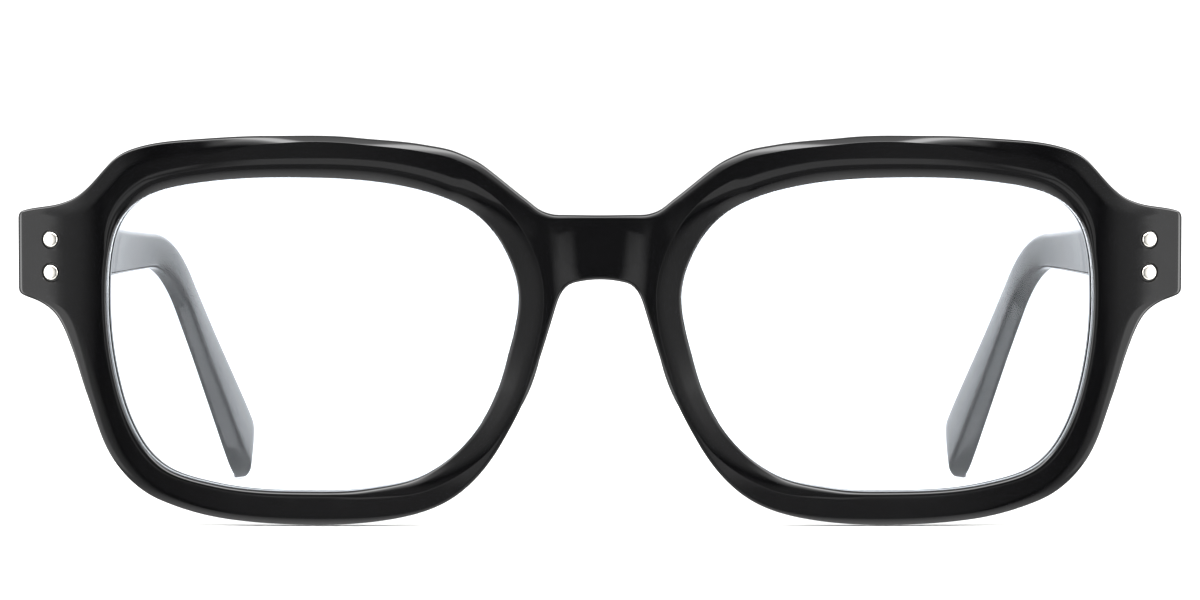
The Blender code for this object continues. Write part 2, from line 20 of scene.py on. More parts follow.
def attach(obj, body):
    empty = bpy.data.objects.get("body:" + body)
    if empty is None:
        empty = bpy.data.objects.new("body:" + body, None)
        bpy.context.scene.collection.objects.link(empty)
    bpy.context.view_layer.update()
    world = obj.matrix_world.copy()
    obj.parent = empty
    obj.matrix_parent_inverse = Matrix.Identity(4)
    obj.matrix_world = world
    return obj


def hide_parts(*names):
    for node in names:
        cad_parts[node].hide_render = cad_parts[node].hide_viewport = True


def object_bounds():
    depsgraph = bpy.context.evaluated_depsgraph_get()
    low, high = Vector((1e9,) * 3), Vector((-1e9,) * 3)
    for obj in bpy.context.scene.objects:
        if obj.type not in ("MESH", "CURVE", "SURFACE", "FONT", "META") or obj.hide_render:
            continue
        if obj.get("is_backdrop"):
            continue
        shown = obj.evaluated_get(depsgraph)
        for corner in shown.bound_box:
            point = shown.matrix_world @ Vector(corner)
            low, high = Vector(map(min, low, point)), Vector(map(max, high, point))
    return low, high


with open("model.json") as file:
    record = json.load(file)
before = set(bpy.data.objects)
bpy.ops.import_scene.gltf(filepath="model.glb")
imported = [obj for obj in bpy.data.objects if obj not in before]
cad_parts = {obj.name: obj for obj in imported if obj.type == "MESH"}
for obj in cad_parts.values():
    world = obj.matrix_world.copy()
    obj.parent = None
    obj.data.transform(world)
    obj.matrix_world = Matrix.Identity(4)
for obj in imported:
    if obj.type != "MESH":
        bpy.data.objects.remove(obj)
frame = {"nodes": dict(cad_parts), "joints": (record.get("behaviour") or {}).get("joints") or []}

CAD_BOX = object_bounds()
JOINTS = {joint["name"]: joint for joint in frame["joints"]}
print("packed nodes:", len(frame["nodes"]), "joints:", sorted(JOINTS))

# %% [markdown]
# ## One drawing for the whole front
#
# An acetate front is cut flat from a sheet and then bent warm over a former. The drawing is kept the
# same way: `u` runs across the sheet from the bridge, `v` runs up from the lens's mid-height, and
# `depth` runs back from the front face, all in millimetres. One function bends the sheet, so every later
# cell can think flat. The alternative, drawing straight in space, would make each edge and groove a
# separate problem.

# %% The bent sheet
MM = 0.001
SHEET = 4.2
FRONT_ARCS = ((61.0, 700.0), (6.0, 30.0))
FRONT_TILT = math.radians(4.0)
ENDPIECE_OUT = 71.85
ENDPIECE_FLAT_FROM = 67.0
HINGE_RISE = 9.75
HINGE_ACROSS = 64.7
AXIS_BEHIND = 1.9


def bent_sheet(u):
    """Where the sheet's front face lies at u, and how far it has turned."""
    x = y = turned_by = 0.0
    left = u
    for length, radius in FRONT_ARCS:
        run = min(left, length)
        after = turned_by + run / radius
        x += radius * (math.sin(after) - math.sin(turned_by))
        y += radius * (math.cos(turned_by) - math.cos(after))
        turned_by = after
        left -= run
    return x + left * math.cos(turned_by), y + left * math.sin(turned_by), turned_by


def sheet_point(u, v, depth):
    x, y, turned_by = bent_sheet(u)
    return Vector((x - depth * math.sin(turned_by), y + depth * math.cos(turned_by), v))


ENDPIECE_TURN = bent_sheet(ENDPIECE_OUT)[2]
behind = sheet_point(ENDPIECE_OUT, HINGE_RISE, SHEET + AXIS_BEHIND)
inward = HINGE_ACROSS - behind.x
AXIS_FOOT = behind + Vector((inward, inward * math.tan(ENDPIECE_TURN), 0))
TILT = (
    Matrix.Translation((0, AXIS_FOOT.y, HINGE_RISE))
    @ Matrix.Rotation(FRONT_TILT, 4, "X")
    @ Matrix.Translation((0, -AXIS_FOOT.y, -HINGE_RISE))
)
DATUM = Vector(JOINTS["temple_hinge_left"]["pos_m"]) / MM - AXIS_FOOT
print("endpiece turned by %.1f degrees, datum at %s mm" % (math.degrees(ENDPIECE_TURN), tuple(DATUM)))


def front_point(u, v, depth):
    """A place on the bent and tilted front. The endpiece's end is sheared square to the temple."""
    share = min(max((u - ENDPIECE_FLAT_FROM) / (ENDPIECE_OUT - ENDPIECE_FLAT_FROM), 0.0), 1.0)
    return TILT @ sheet_point(u + share * depth * math.tan(ENDPIECE_TURN), v, depth)


def axis_matrix(turn):
    return TILT @ Matrix.Translation(AXIS_FOOT) @ Matrix.Rotation(turn, 4, "Z")


ENDPIECE_FRAME = axis_matrix(ENDPIECE_TURN)
TEMPLE_SIDE_FRAME = axis_matrix(0.0)
SIDES = ((1, "left"), (-1, "right"))

# %% [markdown]
# ## The camera
#
# The spectacles are seen square from the front, from just below the endpieces' height and from less than
# half a metre. That near view matters: it makes the temples converge inside the lenses. The camera stands
# on the datum's own axes, so it follows if the drawing moves.

# %% Set up the camera
CAMERA_BACK = 450.0
CAMERA_RISE = 3.96
VIEW_WIDTH = 145.631
SENSOR = 36.0
CLIP_START = 10.0

camera_data = bpy.data.cameras.new("studio_camera")
camera_data.sensor_width = SENSOR
camera_data.lens = SENSOR * CAMERA_BACK / VIEW_WIDTH
camera_data.clip_start = CLIP_START * MM
camera = bpy.data.objects.new("studio_camera", camera_data)
camera.location = (Vector((0, -CAMERA_BACK, CAMERA_RISE)) + DATUM) * MM
camera.rotation_euler = (math.radians(90), 0, 0)
bpy.context.scene.collection.objects.link(camera)
bpy.context.scene.camera = camera
print("camera lens %.1f mm" % camera_data.lens)

# %% [markdown]
# ## Small helpers for shapes
#
# Most pieces here are lofts: rings of points joined in order and capped at both ends. Turned pieces such
# as rivets are lofts of circles. `make_piece` turns such shapes into an object and mirrors it for the
# right-hand side. It also takes cutters and adders, which are applied at once with exact Booleans so
# that the finished mesh stands alone. Booleans are done in millimetres, because features of a few
# microns are too close to zero when they are measured in metres, and the piece is scaled to metres at
# the end.

# %% Helpers for lofts and pieces
def loft(rings):
    """Rings of equal count joined in order, with flat ends."""
    count = len(rings[0])
    points = [point for ring in rings for point in ring]
    faces = []
    for level in range(len(rings) - 1):
        base = level * count
        for index in range(count):
            after = (index + 1) % count
            faces.append((base + index, base + after, base + count + after, base + count + index))
    faces.append(tuple(range(count))[::-1])
    faces.append(tuple(range(len(points) - count, len(points))))
    return points, faces


def turned(profile, sides=48):
    """A turned shape along +Z from (radius, z) steps that climb."""
    rings = []
    for radius, z in profile:
        angles = [2 * math.pi * index / sides for index in range(sides)]
        rings.append([Vector((radius * math.cos(a), radius * math.sin(a), z)) for a in angles])
    return loft(rings)


def placed(shape, matrix):
    points, faces = shape
    return [matrix @ Vector(point) for point in points], faces


def mesh_from(shapes, side):
    """A mesh in millimetres from shapes drawn from the datum, mirrored when the side is -1."""
    work = bmesh.new()
    for points, faces in shapes:
        made = []
        for point in points:
            place = point + DATUM
            made.append(work.verts.new((side * place.x, place.y, place.z)))
        for face in faces:
            corners = [made[index] for index in face]
            work.faces.new(corners if side > 0 else corners[::-1])
    mesh = bpy.data.meshes.new("shape")
    work.to_mesh(mesh)
    work.free()
    return mesh


def boolean(piece, shapes, operation, side):
    """Apply one exact Boolean with the given shapes."""
    tool = bpy.data.objects.new("tool", mesh_from(shapes, side))
    bpy.context.scene.collection.objects.link(tool)
    modifier = piece.modifiers.new(operation.lower(), "BOOLEAN")
    modifier.operation = operation
    modifier.object = tool
    bpy.context.view_layer.update()
    result = bpy.data.meshes.new_from_object(piece.evaluated_get(bpy.context.evaluated_depsgraph_get()))
    piece.modifiers.clear()
    piece.data = result
    bpy.data.objects.remove(tool)


def finish_piece(piece, body, replaced, sharp):
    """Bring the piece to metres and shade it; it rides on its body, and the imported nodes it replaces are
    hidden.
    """
    piece.data.transform(Matrix.Scale(MM, 4))
    piece.data.name = piece.name
    piece.data.shade_smooth()
    piece.data.set_sharp_from_angle(angle=math.radians(sharp))
    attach(piece, body)
    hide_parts(*replaced)
    print(f"{piece.name}: {len(piece.data.polygons)} faces")
    return piece


def make_piece(name, shapes, body, replaced, side=1, add=(), cut=(), sharp=40):
    """One finished piece from its shapes, with others joined to it and cut from it."""
    piece = bpy.data.objects.new(name, mesh_from(shapes, side))
    bpy.context.scene.collection.objects.link(piece)
    for shape in add:
        boolean(piece, [shape], "UNION", side)
    if cut:
        boolean(piece, cut, "DIFFERENCE", side)
    return finish_piece(piece, body, replaced, sharp)


# %% [markdown]
# ## Outlines as arcs between a few anchors
#
# A pattern maker draws a rim with a handful of tangent points. `smooth_outline` does the same: each
# anchor holds a place and the heading of the line there, and each leg is a cubic that keeps both
# headings. A Bezier curve object would give the same line, but then its points could not be reused for
# offsets.

# %% The outlines of the opening and the rim
OPENING = [
    (9.95, 4.75, -90), (11.7, -3.9, -75), (15.2, -11.5, -54), (21.2, -16.75, -29), (28.5, -18.65, -9),
    (35.9, -19.0, 0), (47.2, -18.15, 12), (52.5, -16.65, 24), (56.5, -13.0, 58), (59.1, -6.6, 76),
    (60.45, 4.4, 90), (59.65, 12.0, 105), (57.8, 15.4, 133), (50.3, 18.55, 171), (38.7, 19.4, 180),
    (24.2, 18.4, 191), (16.1, 15.6, 211), (11.7, 10.8, 242),
]
RIM = [
    (0.0, 7.05, 0), (3.2, 6.65, -14), (5.3, 3.95, -73), (8.8, -6.7, -68), (12.0, -13.0, -60),
    (17.5, -19.4, -36), (25.5, -22.4, -10), (34.9, -23.15, 0), (45.9, -22.5, 8), (54.2, -20.2, 23),
    (59.5, -15.8, 54), (63.0, -7.5, 70), (65.2, -1.0, 68), (67.1, 2.6, 50), (69.3, 4.15, 24),
    (71.35, 4.9, 26), (71.85, 5.7, 90), (71.85, 14.4, 90), (71.3, 15.25, 162), (67.0, 16.05, 167),
    (64.0, 17.25, 146), (59.8, 21.4, 135), (56.2, 23.2, 165), (48.5, 24.15, 176), (40.7, 24.5, 180),
    (29.8, 24.3, 186), (21.4, 23.45, 190), (17.4, 22.55, 202), (14.0, 20.8, 217), (9.0, 16.85, 217),
    (7.0, 15.4, 203), (5.0, 14.95, 180), (0.0, 14.9, 180),
]
LENS_CENTRE = Vector((35.2, 0.0))


def smooth_outline(anchors, closed, spacing):
    """Points along a smooth curve through the anchors."""
    ends = anchors[1:] + (anchors[:1] if closed else [])

    def along(place, heading, length):
        return place + length * Vector((math.cos(math.radians(heading)), math.sin(math.radians(heading))))

    points = []
    for (u0, v0, heading0), (u1, v1, heading1) in zip(anchors, ends):
        start, end = Vector((u0, v0)), Vector((u1, v1))
        turn = math.radians((heading1 - heading0 + 180) % 360 - 180)
        chord = (end - start).length
        handle = chord / (3 * math.cos(turn / 4) ** 2)
        after = along(start, heading0, handle)
        before = along(end, heading1, -handle)
        steps = max(3, round(chord / spacing))
        for step in range(steps):
            t = step / steps
            s = 1 - t
            points.append(s ** 3 * start + 3 * s * s * t * after + 3 * s * t * t * before + t ** 3 * end)
    if not closed:
        points.append(Vector(anchors[-1][:2]))
    return points


def outward_normals(points, closed):
    """Unit normals to the right of the direction of travel."""
    normals = []
    count = len(points)
    for index in range(count):
        before = points[index - 1] if closed or index > 0 else points[index]
        after = points[(index + 1) % count] if closed or index < count - 1 else points[index]
        direction = (after - before).normalized()
        normals.append(Vector((direction.y, -direction.x)))
    return normals


def ray_to_loop(centre, target, loop, normals):
    """The point and normal where the ray from the centre toward the target leaves a loop."""
    direction = (target - centre).normalized()
    for index, start in enumerate(loop):
        after = (index + 1) % len(loop)
        edge = loop[after] - start
        across = direction.x * edge.y - direction.y * edge.x
        if abs(across) < 1e-9:
            continue
        offset = start - centre
        reach = (offset.x * edge.y - offset.y * edge.x) / across
        share = (offset.x * direction.y - offset.y * direction.x) / across
        if reach > 0 and -1e-9 <= share <= 1 + 1e-9:
            return centre + direction * reach, normals[index].lerp(normals[after], share).normalized()
    raise ValueError("the ray misses the loop")


OPENING_LINE = smooth_outline(OPENING, True, 0.7)
OPENING_NORMALS = outward_normals(OPENING_LINE, True)
print("points round the opening:", len(OPENING_LINE))


# %% [markdown]
# ## How the front's edges are worked
#
# After milling, the front's edges are filed and tumbled. Looking round the rim, the edge is not the same
# everywhere. Over the lens the face curves down into the opening, ever steeper toward the edge. On the
# nose side it drops at a crease into a flat bevel. The temporal side rolls off outward, and the rest has
# a short round. Each worked edge is described by its width, its slope at the face and at the wall in
# degrees, and how the slope grows between them: the share of the width over which it grows, and a power.
# Stops round the lens are given by angle, with 0 at the temple side and 90 at the top. Two rows set
# close together keep each crease crisp. A Bevel modifier would give one width all round, and that even
# line is what makes a model look moulded instead of filed.

# %% The worked edges
INNER_EDGE = [
    (0, 0.5, 0, 12, 1.0, 1.0), (22, 0.6, 0, 14, 1.0, 1.0), (42, 2.5, 0, 33, 1.0, 1.75),
    (90, 2.85, 0, 33, 1.0, 1.75), (115, 3.1, 0, 33, 1.0, 1.75), (135, 3.1, 0, 28, 1.0, 1.75),
    (155, 3.1, 11, 14.5, 0.4, 1.0), (175, 3.1, 11, 16, 0.4, 1.0), (195, 3.1, 11, 19.3, 0.4, 1.0),
    (212, 2.8, 11, 20, 0.5, 1.0), (240, 1.5, 6, 28, 1.0, 1.2), (262, 0.8, 0, 38, 1.0, 1.2),
    (320, 0.75, 0, 36, 1.0, 1.2), (345, 0.55, 0, 14, 1.0, 1.0), (360, 0.55, 0, 12, 1.0, 1.0),
]
OUTER_EDGE = [
    (0, 2.15, 0, 12, 1.0, 1.0), (14, 2.1, 0, 12, 0.8, 1.0), (28, 2.3, 0, 9, 0.35, 1.0),
    (58, 2.4, 0, 9, 0.35, 1.0), (74, 1.1, 12, 22, 1.0, 1.0), (88, 0.75, 26, 30, 1.0, 1.0),
    (104, 0.78, 25, 29, 1.0, 1.0), (126, 0.95, 16, 22, 1.0, 1.0), (146, 0.9, 15, 22, 1.0, 1.0),
    (157, 0.55, 6, 22, 1.0, 1.0), (172, 0.45, 0, 15, 1.0, 1.0), (235, 0.45, 0, 15, 1.0, 1.0),
    (262, 1.3, 0, 28, 1.0, 1.5), (300, 1.4, 0, 28, 1.0, 1.5), (335, 2.0, 0, 14, 1.0, 1.0),
    (360, 2.15, 0, 12, 1.0, 1.0),
]
ENDPIECE_EDGE = (0.75, 4, 15, 1.0, 1.0)
EDGE_ROUND = 0.35
CREASE_HALF = 0.04
BACK_ROUND = 0.5
ROUND_SHARE = 0.8


def read_stops(stops, angle):
    """The values at an angle, read between stops."""
    for (start, *first), (end, *last) in zip(stops, stops[1:]):
        if angle <= end:
            share = (angle - start) / (end - start)
            return [a + (b - a) * share for a, b in zip(first, last)]
    return stops[-1][1:]


def bevel_section(width, first, last, grows_over, power, steps=12, round_steps=5):
    """(inset, depth) from the flat face to the wall: a bevel with a changing slope, then a round."""
    meets = min(EDGE_ROUND * (1 - math.sin(math.radians(last))), ROUND_SHARE * width)
    section = [(width + CREASE_HALF, 0.0), (width, 0.0)]
    section.append((width - CREASE_HALF, CREASE_HALF * math.tan(math.radians(first))))
    for step in range(steps):
        share = min((step + 0.5) / steps / grows_over, 1.0)
        slope = math.radians(first + (last - first) * share ** power)
        inset, depth = section[-1]
        run = (width - CREASE_HALF - meets) / steps
        section.append((inset - run, depth + run * math.tan(slope)))
    tilt = math.radians(last)
    centre = section[-1][1] + EDGE_ROUND * math.cos(tilt)
    for step in range(1, round_steps + 1):
        angle = tilt + (math.pi / 2 - tilt) * step / round_steps
        inset = meets * (1 - math.sin(angle)) / (1 - math.sin(tilt))
        section.append((inset, centre - EDGE_ROUND * math.cos(angle)))
    return section


def round_section(radius, steps=5):
    """(inset, depth from the back face) for the rounded back edge, wall first."""
    angles = [math.pi / 2 * step / steps for step in range(steps + 1)]
    return [(radius * (1 - math.cos(a)), radius * (1 - math.sin(a))) for a in angles]


over_lens = bevel_section(*read_stops(INNER_EDGE, 90))
print("the bevel over the lens falls %.2f mm over %.2f mm" % (over_lens[-1][1], over_lens[0][0]))

# %% [markdown]
# ## The face of the front
#
# The face is not a plane. It is crowned a little from top to bottom, as a polished sheet is, and the
# middle of the bridge is dressed a fifth of a millimetre lower than the rims, with a soft slope on each
# side that catches the light. Both are depths added to the flat drawing, so the edges above ride on
# them.

# %% Crown and bridge relief
CROWN_RADIUS = 460.0
BRIDGE_RELIEF = 0.19
BRIDGE_SLOPE_AT = 4.2
BRIDGE_SLOPE_HALF = 2.5
BRIDGE_SPLAY = 0.11
BRIDGE_FOOT = 7.0
RELIEF_FADES = (-8.0, 2.0)


def smoothstep(low, high, value):
    share = min(max((value - low) / (high - low), 0.0), 1.0)
    return share * share * (3 - 2 * share)


def face_depth(u, v):
    """How far the face lies behind the flat drawing."""
    crown = v * v / (2 * CROWN_RADIUS)
    middle = BRIDGE_SLOPE_AT + BRIDGE_SPLAY * (v - BRIDGE_FOOT)
    relief = BRIDGE_RELIEF * (1 - smoothstep(middle - BRIDGE_SLOPE_HALF, middle + BRIDGE_SLOPE_HALF, u))
    return crown + relief * smoothstep(*RELIEF_FADES, v)


print("face depth at the bridge %.2f mm, over the lens %.2f mm" % (face_depth(0, 11), face_depth(35, 22)))

# %% [markdown]
# ## The front
#
# The front is one piece of acetate: two rims, the bridge and the endpieces. It is built as columns that
# run from the lens groove over the face to the outer edge and back behind. Every column has the same
# rows, so the mesh is a clean grid that follows each edge. The half on the wearer's left is made and
# mirrored, and the seam down the bridge is merged. Pockets for the hinge leaves and dishes for the rivet
# heads are cut afterwards, as they are on the bench.

# %% Build half of the front as a grid
GROOVE_DEPTH = 0.7
GROOVE_SETBACK = 2.1
GROOVE_HALF_WIDTH = 0.85
COLUMN_SPACING = 0.55
BRIDGE_COLUMNS = 14
FACE_STEPS = 7
SMOOTH_PASSES = 10
STRAIGHT = 99.0
NARROWEST_EDGE = 0.4
LOOK_ASIDE = 3
AIM_LIFT = 7.0
AIM_ACROSS = 7.0
AIM_HEIGHTS = (7.0, 15.0)


def softened(values, passes):
    """Neighbouring values averaged, ends kept."""
    for _ in range(passes):
        middle = [(a + 2 * b + c) / 4 for a, b, c in zip(values, values[1:], values[2:])]
        values = [values[0], *middle, values[-1]]
    return values


def corner_radius(points, index):
    """The outline's radius where it turns left (a convex corner), else a large number."""
    if index < 2 or index > len(points) - 3:
        return STRAIGHT
    before = points[index] - points[index - 2]
    after = points[index + 2] - points[index]
    turn = before.angle_signed(after, 0.0)
    return STRAIGHT if turn > -1e-4 else (before.length + after.length) / 2 / -turn


def edge_sizes(rim, stops):
    """The worked edge at each rim point, narrowed where a corner is tight and on the endpiece."""
    sizes = []
    for index, point in enumerate(rim):
        angle = math.degrees(math.atan2(point.y - LENS_CENTRE.y, point.x - LENS_CENTRE.x)) % 360
        width, *shape = ENDPIECE_EDGE if point.x > ENDPIECE_FLAT_FROM else read_stops(stops, angle)
        near = range(max(0, index - LOOK_ASIDE), index + LOOK_ASIDE + 1)
        tightest = min(corner_radius(rim, neighbour) for neighbour in near)
        sizes.append((min(width, max(NARROWEST_EDGE, ROUND_SHARE * tightest)), *shape))
    return list(zip(*[softened(values, SMOOTH_PASSES) for values in zip(*sizes)]))


def aim_point(point):
    """Where the column through an outer point is aimed, raised near the underside of the bridge."""
    low, high = AIM_HEIGHTS
    across = max(0.0, 1 - point.x / AIM_ACROSS)
    height = min(max((high - point.y) / (high - low), 0.0), 1.0)
    return point + Vector((0, AIM_LIFT * across * height))


def on_face(place, depth=0.0):
    return place, depth + face_depth(place.x, place.y)


def front_column(target, outer_edge, outer_normal):
    """The (place, depth) rows of one column: lens wall, bevel, face, outer edge, back and round again."""
    inner, normal = ray_to_loop(LENS_CENTRE, aim_point(target), OPENING_LINE, OPENING_NORMALS)
    angle = math.degrees(math.atan2(inner.y - LENS_CENTRE.y, inner.x - LENS_CENTRE.x)) % 360
    bevel = bevel_section(*read_stops(INNER_EDGE, angle))
    back_edge = round_section(BACK_ROUND)

    rows = [(inner, GROOVE_SETBACK + GROOVE_HALF_WIDTH), (inner + normal * GROOVE_DEPTH, GROOVE_SETBACK)]
    rows.append((inner, GROOVE_SETBACK - GROOVE_HALF_WIDTH))
    rows += [on_face(inner + normal * inset, depth) for inset, depth in bevel[::-1]]
    face_from = rows[-1][0]
    if outer_edge:
        worked = bevel_section(*outer_edge)
        outer_rows = [on_face(target - outer_normal * inset, depth) for inset, depth in worked]
        outer_rows += [(target - outer_normal * inset, SHEET - rise) for inset, rise in back_edge]
    else:
        outer_rows = [on_face(target), (target, SHEET)]
    steps = [step / FACE_STEPS for step in range(1, FACE_STEPS)]
    rows += [on_face(face_from.lerp(outer_rows[0][0], share)) for share in steps]
    rows += outer_rows
    inner_back = [(inner + normal * inset, SHEET - rise) for inset, rise in back_edge[::-1]]
    rows += [(rows[-1][0].lerp(inner_back[0][0], share), SHEET) for share in steps]
    return rows + inner_back


def front_half():
    """Points and faces of the half on the wearer's left."""
    rim = smooth_outline(RIM, False, COLUMN_SPACING)
    normals = outward_normals(rim, False)
    normals[0], normals[-1] = Vector((0, -1)), Vector((0, 1))
    edges = edge_sizes(rim, OUTER_EDGE)
    top = rim[-1] - Vector((0, edges[-1][0]))
    bottom = rim[0] + Vector((0, edges[0][0]))
    shares = [index / (BRIDGE_COLUMNS + 1) for index in range(1, BRIDGE_COLUMNS + 1)]
    built = [front_column(*parts) for parts in zip(rim, edges, normals)]
    built += [front_column(top.lerp(bottom, share), None, None) for share in shares]

    points, columns = [], []
    for rows in built:
        columns.append(range(len(points), len(points) + len(rows)))
        points += [front_point(place.x, place.y, depth) for place, depth in rows]
    faces = []
    back_rows = FACE_STEPS + len(round_section(BACK_ROUND))
    front_rows = len(built[-1]) - back_rows - 1
    for index, column in enumerate(columns):
        after = columns[(index + 1) % len(columns)]
        whole = index < len(rim) - 1
        rows = range(-1, len(column) - 1) if whole else [*range(front_rows), *range(-back_rows, 0)]
        faces += [(after[row], after[row + 1], column[row + 1], column[row]) for row in rows]
    return points, faces


half_points, half_faces = front_half()
mirrored_points = [Vector((-point.x, point.y, point.z)) for point in half_points]
mirrored = (mirrored_points, [face[::-1] for face in half_faces])
print("half the front:", len(half_points), "points,", len(half_faces), "faces")

# %% [markdown]
# ## Rivets, pockets and their frames
#
# Two rivets hold each hinge leaf to the endpiece and two more hold the temple's leaf. Their heads sit in
# shallow dishes that are countersunk into the polished face. The frames below put z = 0 on the outer
# face with z running into the acetate, so one profile serves the cutter and one the rivet.

# %% Cut the front
LEAF_THICKNESS = 1.0
LEAF_FIT = 0.05
CUT_PAST = 1.0
FRONT_LEAF = (-3.6, 3.0, 3.6)
FRONT_RIVET_ACROSS = 0.9
FRONT_RIVET_RISES = {"upper": 2.025, "lower": -2.025}
RIVET_BORE = 0.65
DISH = [(1.5, -0.6), (1.42, -0.03), (1.3, 0.03), (1.2, 0.12), (1.12, 0.28), (RIVET_BORE, 0.28)]


def front_rivet_frame(height):
    face = Matrix.Translation((FRONT_RIVET_ACROSS, -AXIS_BEHIND - SHEET, height))
    return ENDPIECE_FRAME @ face @ Matrix.Rotation(math.radians(-90), 4, "X")


def box(low, high):
    ring = [(low[0], low[1]), (high[0], low[1]), (high[0], high[1]), (low[0], high[1])]
    return loft([[Vector((x, y, z)) for x, y in ring] for z in (low[2], high[2])])


def front_cutters():
    low_x, high_x, half_height = FRONT_LEAF
    pocket = box(
        (low_x - LEAF_FIT, -AXIS_BEHIND - LEAF_THICKNESS - LEAF_FIT, -half_height - LEAF_FIT),
        (high_x + LEAF_FIT, CUT_PAST, half_height + LEAF_FIT))
    cutters = [placed(pocket, ENDPIECE_FRAME)]
    dish = turned([*DISH, (RIVET_BORE, SHEET - LEAF_THICKNESS / 2)])
    cutters += [placed(dish, front_rivet_frame(rise)) for rise in FRONT_RIVET_RISES.values()]
    return cutters


def add_front():
    front = bpy.data.objects.new("acetate_front", mesh_from([(half_points, half_faces), mirrored], 1))
    bpy.context.scene.collection.objects.link(front)
    work = bmesh.new()
    work.from_mesh(front.data)
    bmesh.ops.remove_doubles(work, verts=work.verts, dist=1e-4)
    work.to_mesh(front.data)
    work.free()
    for side, _ in SIDES:
        boolean(front, front_cutters(), "DIFFERENCE", side)
    return finish_piece(front, "front", ["front_frame"], 32)


front = add_front()

# %% [markdown]
# ## The lenses
#
# A clear lens is a domed plate edged to the shape of the opening, with a V-shaped bevel that snaps into
# the groove. It could be a Solidify modifier on a curved patch, but the bevel is what holds it, and it
# shows as a fine line inside the rim, so the lens is lofted in rings: back surface, bevel, front
# surface.

# %% Build the lenses
LENS_HALF_THICKNESS = 0.8
LENS_BEVEL = 0.5
LENS_CLEARANCE = 0.03
LENS_DOME = 1.2
LENS_COLUMNS = 180
LENS_SHARES = (0.03, 0.15, 0.3, 0.45, 0.6, 0.72, 0.83, 0.92, 0.97, 1.0)


def lens_shape():
    angles = [2 * math.pi * index / LENS_COLUMNS for index in range(LENS_COLUMNS)]
    rays = [LENS_CENTRE + Vector((math.cos(a), math.sin(a))) for a in angles]
    edge = [ray_to_loop(LENS_CENTRE, ray, OPENING_LINE, OPENING_NORMALS) for ray in rays]

    def ring(share, grow, depth):
        places = [LENS_CENTRE.lerp(point + normal * grow, share) for point, normal in edge]
        return [front_point(place.x, place.y, depth) for place in places]

    def surface(depth):
        return [ring(share, -LENS_CLEARANCE, depth - LENS_DOME * (1 - share ** 2)) for share in LENS_SHARES]

    bevel = [ring(1.0, LENS_BEVEL, GROOVE_SETBACK)]
    back = surface(GROOVE_SETBACK + LENS_HALF_THICKNESS)
    return loft(back + bevel + surface(GROOVE_SETBACK - LENS_HALF_THICKNESS)[::-1])


lenses = [
    make_piece(f"resin_lens_{word}", [lens_shape()], "front", [f"lens_{word}"], side, sharp=30)
    for side, word in SIDES
]

# %% [markdown]
# ## The nose pads
#
# Acetate frames carry small fins cemented behind the nasal rims. Each is rubbed smooth after it is
# glued, so it flares into the rim at its foot and has a rounded crest that leans toward the temple.
# Rings of ellipses give both with a few numbers. Metaballs would blend as softly, but they give no
# control over the crest.

# %% Build the nose pads
PAD_CENTRE = Vector((9.7, -3.9))
PAD_LEAN = math.radians(17.0)
PAD_SIDES = 56
PAD_RINGS = [
    (-0.06, -0.1, 1.85, 6.85), (0.12, -0.06, 1.66, 6.62), (0.4, 0.0, 1.54, 6.45), (1.0, 0.1, 1.52, 6.3),
    (1.8, 0.26, 1.54, 6.1), (2.6, 0.48, 1.48, 5.75), (3.3, 0.7, 1.32, 5.3), (3.8, 0.86, 1.1, 4.85),
    (4.15, 0.95, 0.84, 4.4), (4.34, 1.0, 0.56, 3.95), (4.42, 1.02, 0.26, 3.4),
]


def nose_pad_shape():
    lean = Matrix.Rotation(PAD_LEAN, 2)
    rings = []
    for height, shift, half_width, half_length in PAD_RINGS:
        middle = PAD_CENTRE + Vector((shift, 0))
        angles = [2 * math.pi * index / PAD_SIDES for index in range(PAD_SIDES)]
        oval = [Vector((half_width * math.cos(a), half_length * math.sin(a))) for a in angles]
        places = [middle + lean @ point for point in oval]
        rings.append([front_point(place.x, place.y, SHEET + height) for place in places])
    return loft(rings[::-1])


pads = [
    make_piece(f"acetate_nose_pad_{word}", [nose_pad_shape()], "front", [f"nose_pad_{word}"], side)
    for side, word in SIDES
]

# %% [markdown]
# ## The barrel hinges
#
# Each hinge is two leaves of nickel silver. The front leaf has three knuckles and the temple leaf has
# two, and a screw runs down through all five. The leaves are milled, so every edge carries a small
# chamfer that shows as a bright line. `prism` makes that chamfer directly: an outline is offset inward
# at both ends of its extrusion. The knuckles are joined to the plate with a Boolean, so each leaf is one
# solid.

# %% Shapes for the hinges
KNUCKLE_RADIUS = 1.5
KNUCKLE_HEIGHT = 1.2
KNUCKLE_PITCH = 1.28
HINGE_BORE = 0.78
MILLED_CHAMFER = 0.1
CORNER = 0.7
ARM_OPENS = 8
BARREL_REACH = 4.5


def offset_outline(outline, distance):
    """The counter-clockwise outline moved inward."""
    normals = outward_normals(outline, True)
    return [point - normal * distance for point, normal in zip(outline, normals)]


def prism(outline, low, high, chamfer=MILLED_CHAMFER):
    """An extruded outline with a chamfer round both ends."""
    small = offset_outline(outline, chamfer)
    levels = [(small, low), (outline, low + chamfer), (outline, high - chamfer), (small, high)]
    return loft([[Vector((x, y, z)) for x, y in ring] for ring, z in levels])


def rounded_rectangle(low_x, high_x, half_height, corner=CORNER, steps=6):
    outline = []
    corners = [(high_x, half_height, 0), (low_x, half_height, 90), (low_x, -half_height, 180),
               (high_x, -half_height, 270)]
    for x, y, start in corners:
        centre = Vector((x - math.copysign(corner, x - (low_x + high_x) / 2), y - math.copysign(corner, y)))
        for step in range(steps + 1):
            angle = math.radians(start + 90 * step / steps)
            outline.append(centre + corner * Vector((math.cos(angle), math.sin(angle))))
    return outline


